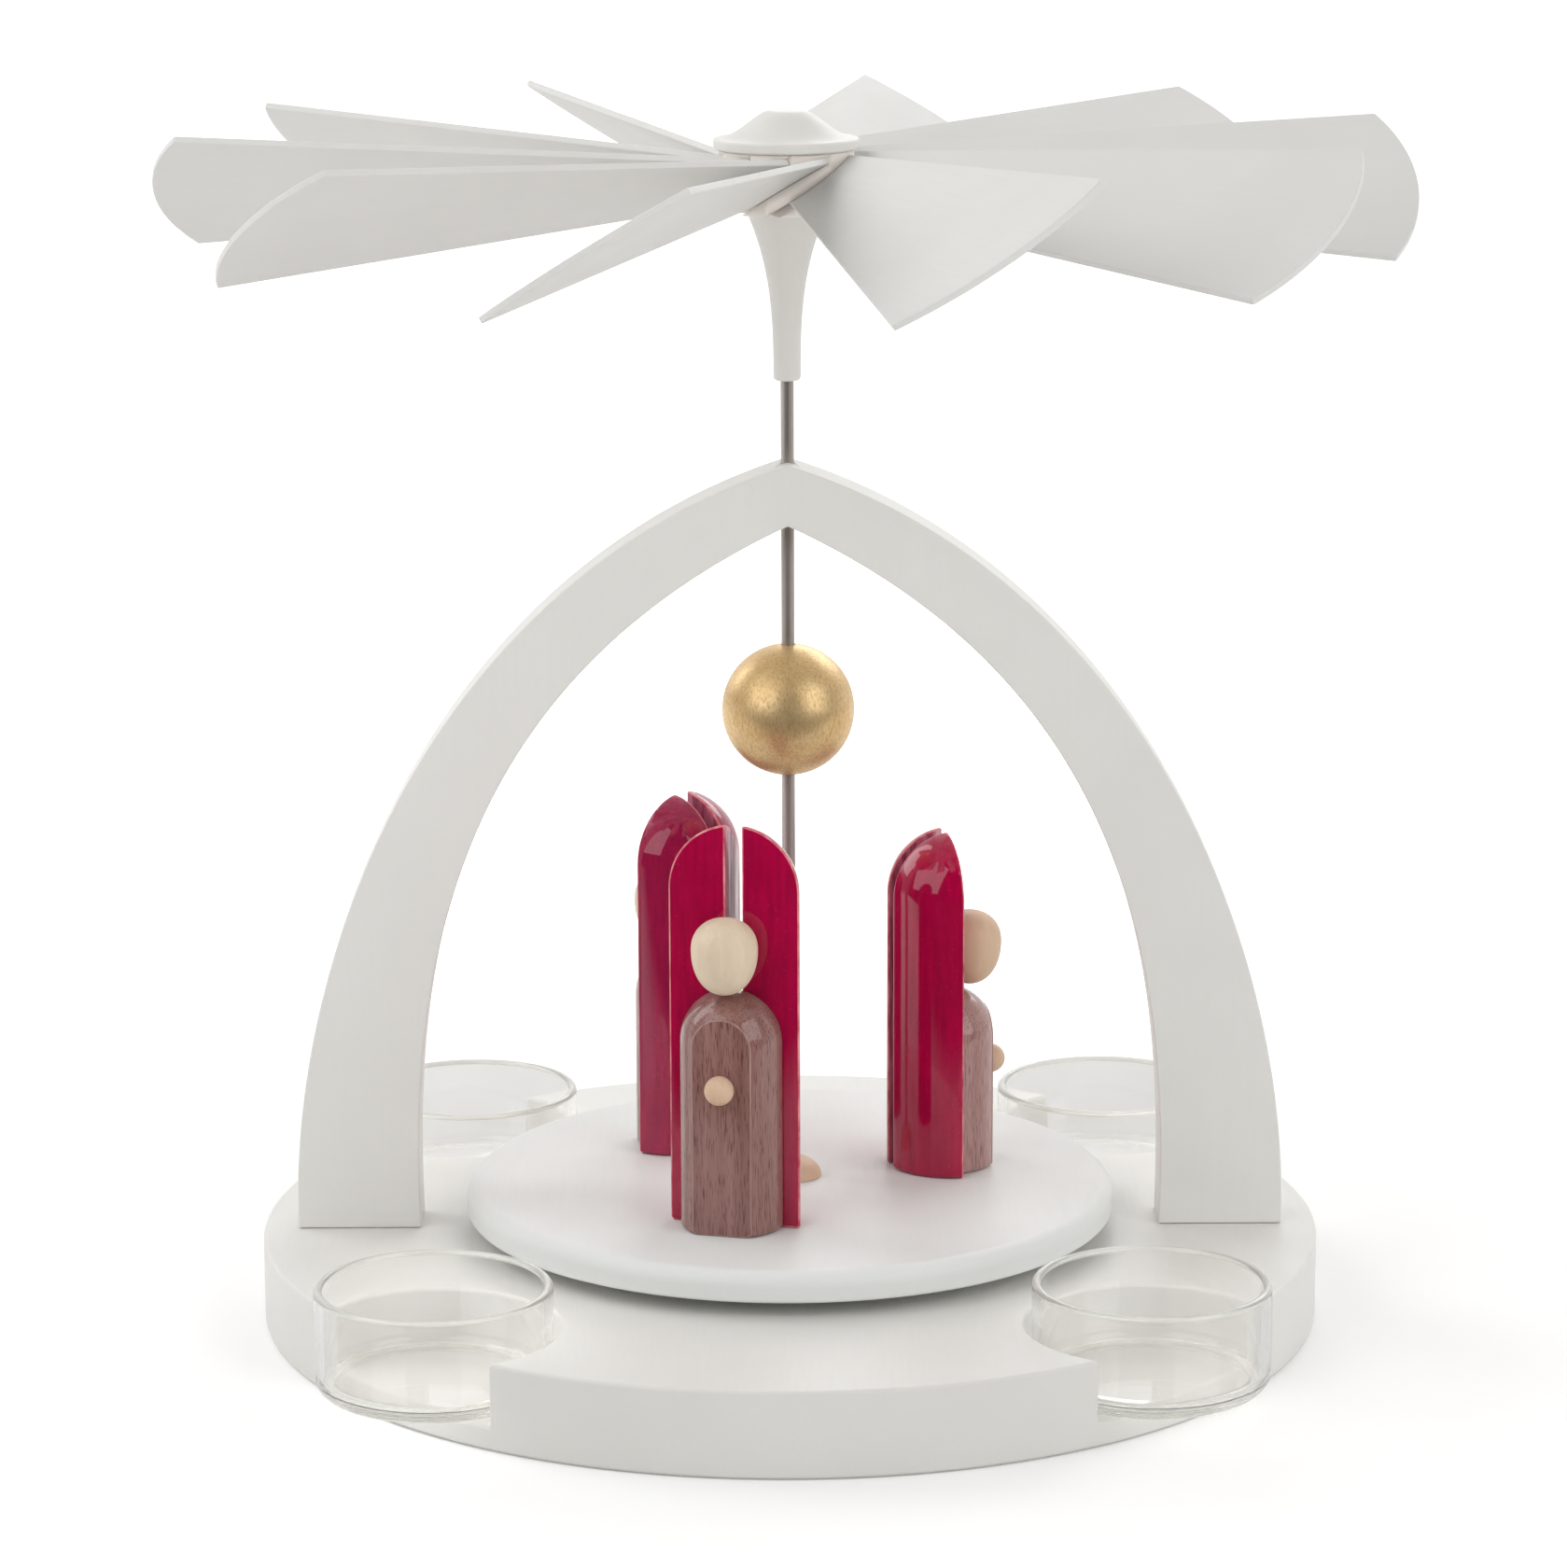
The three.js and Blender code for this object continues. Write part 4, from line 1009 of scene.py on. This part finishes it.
def camera():
    """The photograph's view: its lens and its place."""
    data = bpy.data.cameras.new("camera")
    data.sensor_width = SENSOR
    data.lens = CAMERA_FOCUS * SENSOR / PHOTO_HEIGHT
    data.shift_x = (PHOTO_WIDTH / 2 - CAMERA_CENTRE) / PHOTO_HEIGHT
    data.clip_end = CAMERA_REACH
    obj = bpy.data.objects.new("camera", data)
    level = Vector((math.sin(CAMERA_TURN), math.cos(CAMERA_TURN), 0))
    right = Vector((level.y, -level.x, 0))
    up = level * math.sin(CAMERA_PITCH) + Vector((0, 0, math.cos(CAMERA_PITCH)))
    rolled_right = right * math.cos(CAMERA_ROLL) + up * math.sin(CAMERA_ROLL)
    rolled_up = up * math.cos(CAMERA_ROLL) - right * math.sin(CAMERA_ROLL)
    back = rolled_right.cross(rolled_up)
    place = Matrix((rolled_right, rolled_up, back)).transposed().to_4x4()
    place.translation = -level * CAMERA_DISTANCE + Vector((0, 0, CAMERA_HEIGHT))
    obj.matrix_world = place
    bpy.context.scene.collection.objects.link(obj)
    bpy.context.scene.camera = obj


LAMP_TARGET = Vector((0, 0, 130 * MM))
LAMPS = {
    "softbox_left": dict(azimuth=-52, elevation=34, distance=1.5, size=(1.5, 1.5), power=12.8),
    "softbox_behind": dict(azimuth=-117, elevation=38, distance=1.5, size=(0.92, 1.18), power=8.2),
    "softbox_right": dict(azimuth=50, elevation=25, distance=1.5, size=(1.05, 1.15), power=7.4),
    "softbox_back": dict(azimuth=160, elevation=30, distance=1.3, size=(1, 0.5), power=3.8),
}


def lamp(name, azimuth, elevation, distance, size, power):
    """Soft box turned to the object, so many degrees right of the lens' side and above level."""
    data = bpy.data.lights.new(name, "AREA")
    data.shape = "RECTANGLE"
    data.size, data.size_y = size
    data.energy = power
    obj = bpy.data.objects.new(name, data)
    turn, rise = math.radians(azimuth), math.radians(elevation)
    away = Vector((math.sin(turn) * math.cos(rise), -math.cos(turn) * math.cos(rise), math.sin(rise)))
    obj.location = LAMP_TARGET + away * distance
    obj.rotation_euler = away.to_track_quat("Z", "Y").to_euler()
    bpy.context.scene.collection.objects.link(obj)


class Wiring(Nodes):
    """Nodes of the world or the floor, which answer each kind of ray in its own way."""

    def __init__(self, tree):
        super().__init__(tree)
        tree.nodes.clear()
        rays = self.node("ShaderNodeLightPath").outputs
        self.camera = rays["Is Camera Ray"]
        self.glossy = rays["Is Glossy Ray"]
        inside = self.calc("MINIMUM", rays["Transmission Depth"], 1)
        passed = self.calc("MAXIMUM", rays["Is Transmission Ray"], inside)
        direct = self.calc("SUBTRACT", 1, rays["Is Diffuse Ray"])
        self.through = self.calc("MULTIPLY", passed, direct)

    def calc(self, operation, first, second):
        return self.combine("ShaderNodeMath", operation, first, second)

    def rise(self, value, start, end, low, high):
        """low up to the start of a range, rising softly to high at its end."""
        made = self.node(
            "ShaderNodeMapRange", {"interpolation_type": "SMOOTHSTEP"},
            Value=value, From_Min=start, From_Max=end, To_Min=low, To_Max=high,
        )
        return made.outputs["Result"]

    def from_front(self, vector, near, far, low):
        """low in front of the object, rising to 1 behind it, along the Y of a vector."""
        axes = self.node("ShaderNodeSeparateXYZ", Vector=vector)
        return self.rise(axes.outputs["Y"], near, far, low, 1)


# World: plain light from pale walls, and what gloss and glass find in front of the object
WALL_BEHIND = 0.84
WALL_RIGHT = 0.82
FRONT_GLOSS = 0.03
FRONT_GLASS = 0.4
MIRROR_FRONT, MIRROR_BACK = -0.35, 0.7  # Y of a direction, from the dark in front to the white
SKY_TINT = (1, 0.998, 0.994, 1)

# Floor
FLOOR_SIZE = 12
FLOOR_DROP = 0.2 * MM
PAPER = 0.86
PAPER_TINT = (1, 0.995, 0.985)
PAPER_END, PAPER_START = -240 * MM, -120 * MM  # along Y, where the paper ends for gloss
PAPER_LEFT = 0.02  # share of it that gloss finds past that end
NEAR_GLOW, FAR_GLOW = 0.18, 1
GLOW_START, GLOW_END = 140 * MM, 420 * MM  # from the middle, between those two
GLOSS_GLOW = 0.38
GLASS_SHADE = 0.23

MAX_BOUNCES = 24
GLOSSY_BOUNCES = 12
TRANSMISSION_BOUNCES = 16


def world():
    """White where it is seen, lit as by pale walls behind and on the right, dark in front for gloss."""
    made = bpy.data.worlds.new("studio")
    made.use_nodes = True
    w = Wiring(made.node_tree)
    direction = w.node("ShaderNodeTexCoord").outputs["Generated"]
    axes = w.node("ShaderNodeSeparateXYZ", Vector=direction).outputs
    behind = w.calc("MULTIPLY", w.calc("MAXIMUM", axes["Y"], 0), WALL_BEHIND)
    right = w.calc("MULTIPLY", w.calc("MAXIMUM", axes["X"], 0), WALL_RIGHT)
    clear = w.calc("MAXIMUM", w.glossy, w.through)
    front = w.calc("ADD", FRONT_GLOSS, w.calc("MULTIPLY", w.through, FRONT_GLASS))
    gloss = w.calc("MULTIPLY", clear, w.from_front(direction, MIRROR_FRONT, MIRROR_BACK, front))
    seen = w.calc("MAXIMUM", w.camera, gloss)
    other = w.calc("SUBTRACT", 1, w.calc("MAXIMUM", w.camera, clear))
    walls = w.calc("MULTIPLY", other, w.calc("ADD", behind, right))
    sky = w.node("ShaderNodeBackground", Color=SKY_TINT, Strength=w.calc("ADD", seen, walls))
    w.node("ShaderNodeOutputWorld", Surface=sky.outputs[0])
    bpy.context.scene.world = made


def floor():
    """White paper that takes the object's shadow and ends, for gloss, before the lens."""
    bm = bmesh.new()
    bmesh.ops.create_grid(bm, x_segments=1, y_segments=1, size=FLOOR_SIZE)
    bmesh.ops.translate(bm, verts=bm.verts, vec=(0, 0, -FLOOR_DROP))
    made = bpy.data.materials.new("floor")
    made.use_nodes = True
    w = Wiring(made.node_tree)
    place = w.node("ShaderNodeNewGeometry").outputs["Position"]
    mirrored = w.from_front(place, PAPER_END, PAPER_START, PAPER_LEFT)
    laid = w.calc("MAXIMUM", mirrored, w.calc("SUBTRACT", 1, w.glossy))
    laid = w.calc("MAXIMUM", laid, w.through)
    shaded = w.calc("SUBTRACT", 1, w.calc("MULTIPLY", w.through, GLASS_SHADE))
    tone = [PAPER * part for part in PAPER_TINT]
    tint = w.combine("ShaderNodeVectorMath", "MULTIPLY", tone, w.calc("MULTIPLY", laid, shaded))
    paper = w.node("ShaderNodeBsdfDiffuse", Color=tint)
    lit = w.calc("MAXIMUM", w.camera, w.calc("MULTIPLY", w.glossy, GLOSS_GLOW))
    reach = w.node("ShaderNodeVectorMath", {"operation": "LENGTH"})
    w.feed(reach.inputs[0], place)
    level = w.rise(reach.outputs["Value"], GLOW_START, GLOW_END, NEAR_GLOW, FAR_GLOW)
    strength = w.calc("MULTIPLY", w.calc("MULTIPLY", lit, laid), level)
    glow = w.node("ShaderNodeEmission", Strength=strength)
    both = w.node("ShaderNodeAddShader")
    w.feed(both.inputs[0], paper.outputs[0])
    w.feed(both.inputs[1], glow.outputs[0])
    w.node("ShaderNodeOutputMaterial", Surface=both.outputs[0])
    piece("floor", bm, made)


def studio():
    """Camera, background, floor and lamps."""
    camera()
    world()
    floor()
    for name, values in LAMPS.items():
        lamp(name, **values)
    cycles = bpy.context.scene.cycles
    cycles.max_bounces = MAX_BOUNCES
    cycles.glossy_bounces = GLOSSY_BOUNCES
    cycles.transmission_bounces = TRANSMISSION_BOUNCES
    bpy.context.scene.view_settings.view_transform = "Standard"


stand_for(base_plate(), "base_plate")
stand_for(arch(), "arch")
stand_for(shaft(), "shaft")
stand_for(turntable(), "turntable")
stand_for(boss(), "turntable_boss")
stand_for(gold_ball(), "gold_ball")
for figure_name, sizes in FIGURES.items():
    figure(figure_name, *FINISHES[figure_name], **sizes)
fan()
glasses()
hidden_pieces()
studio()
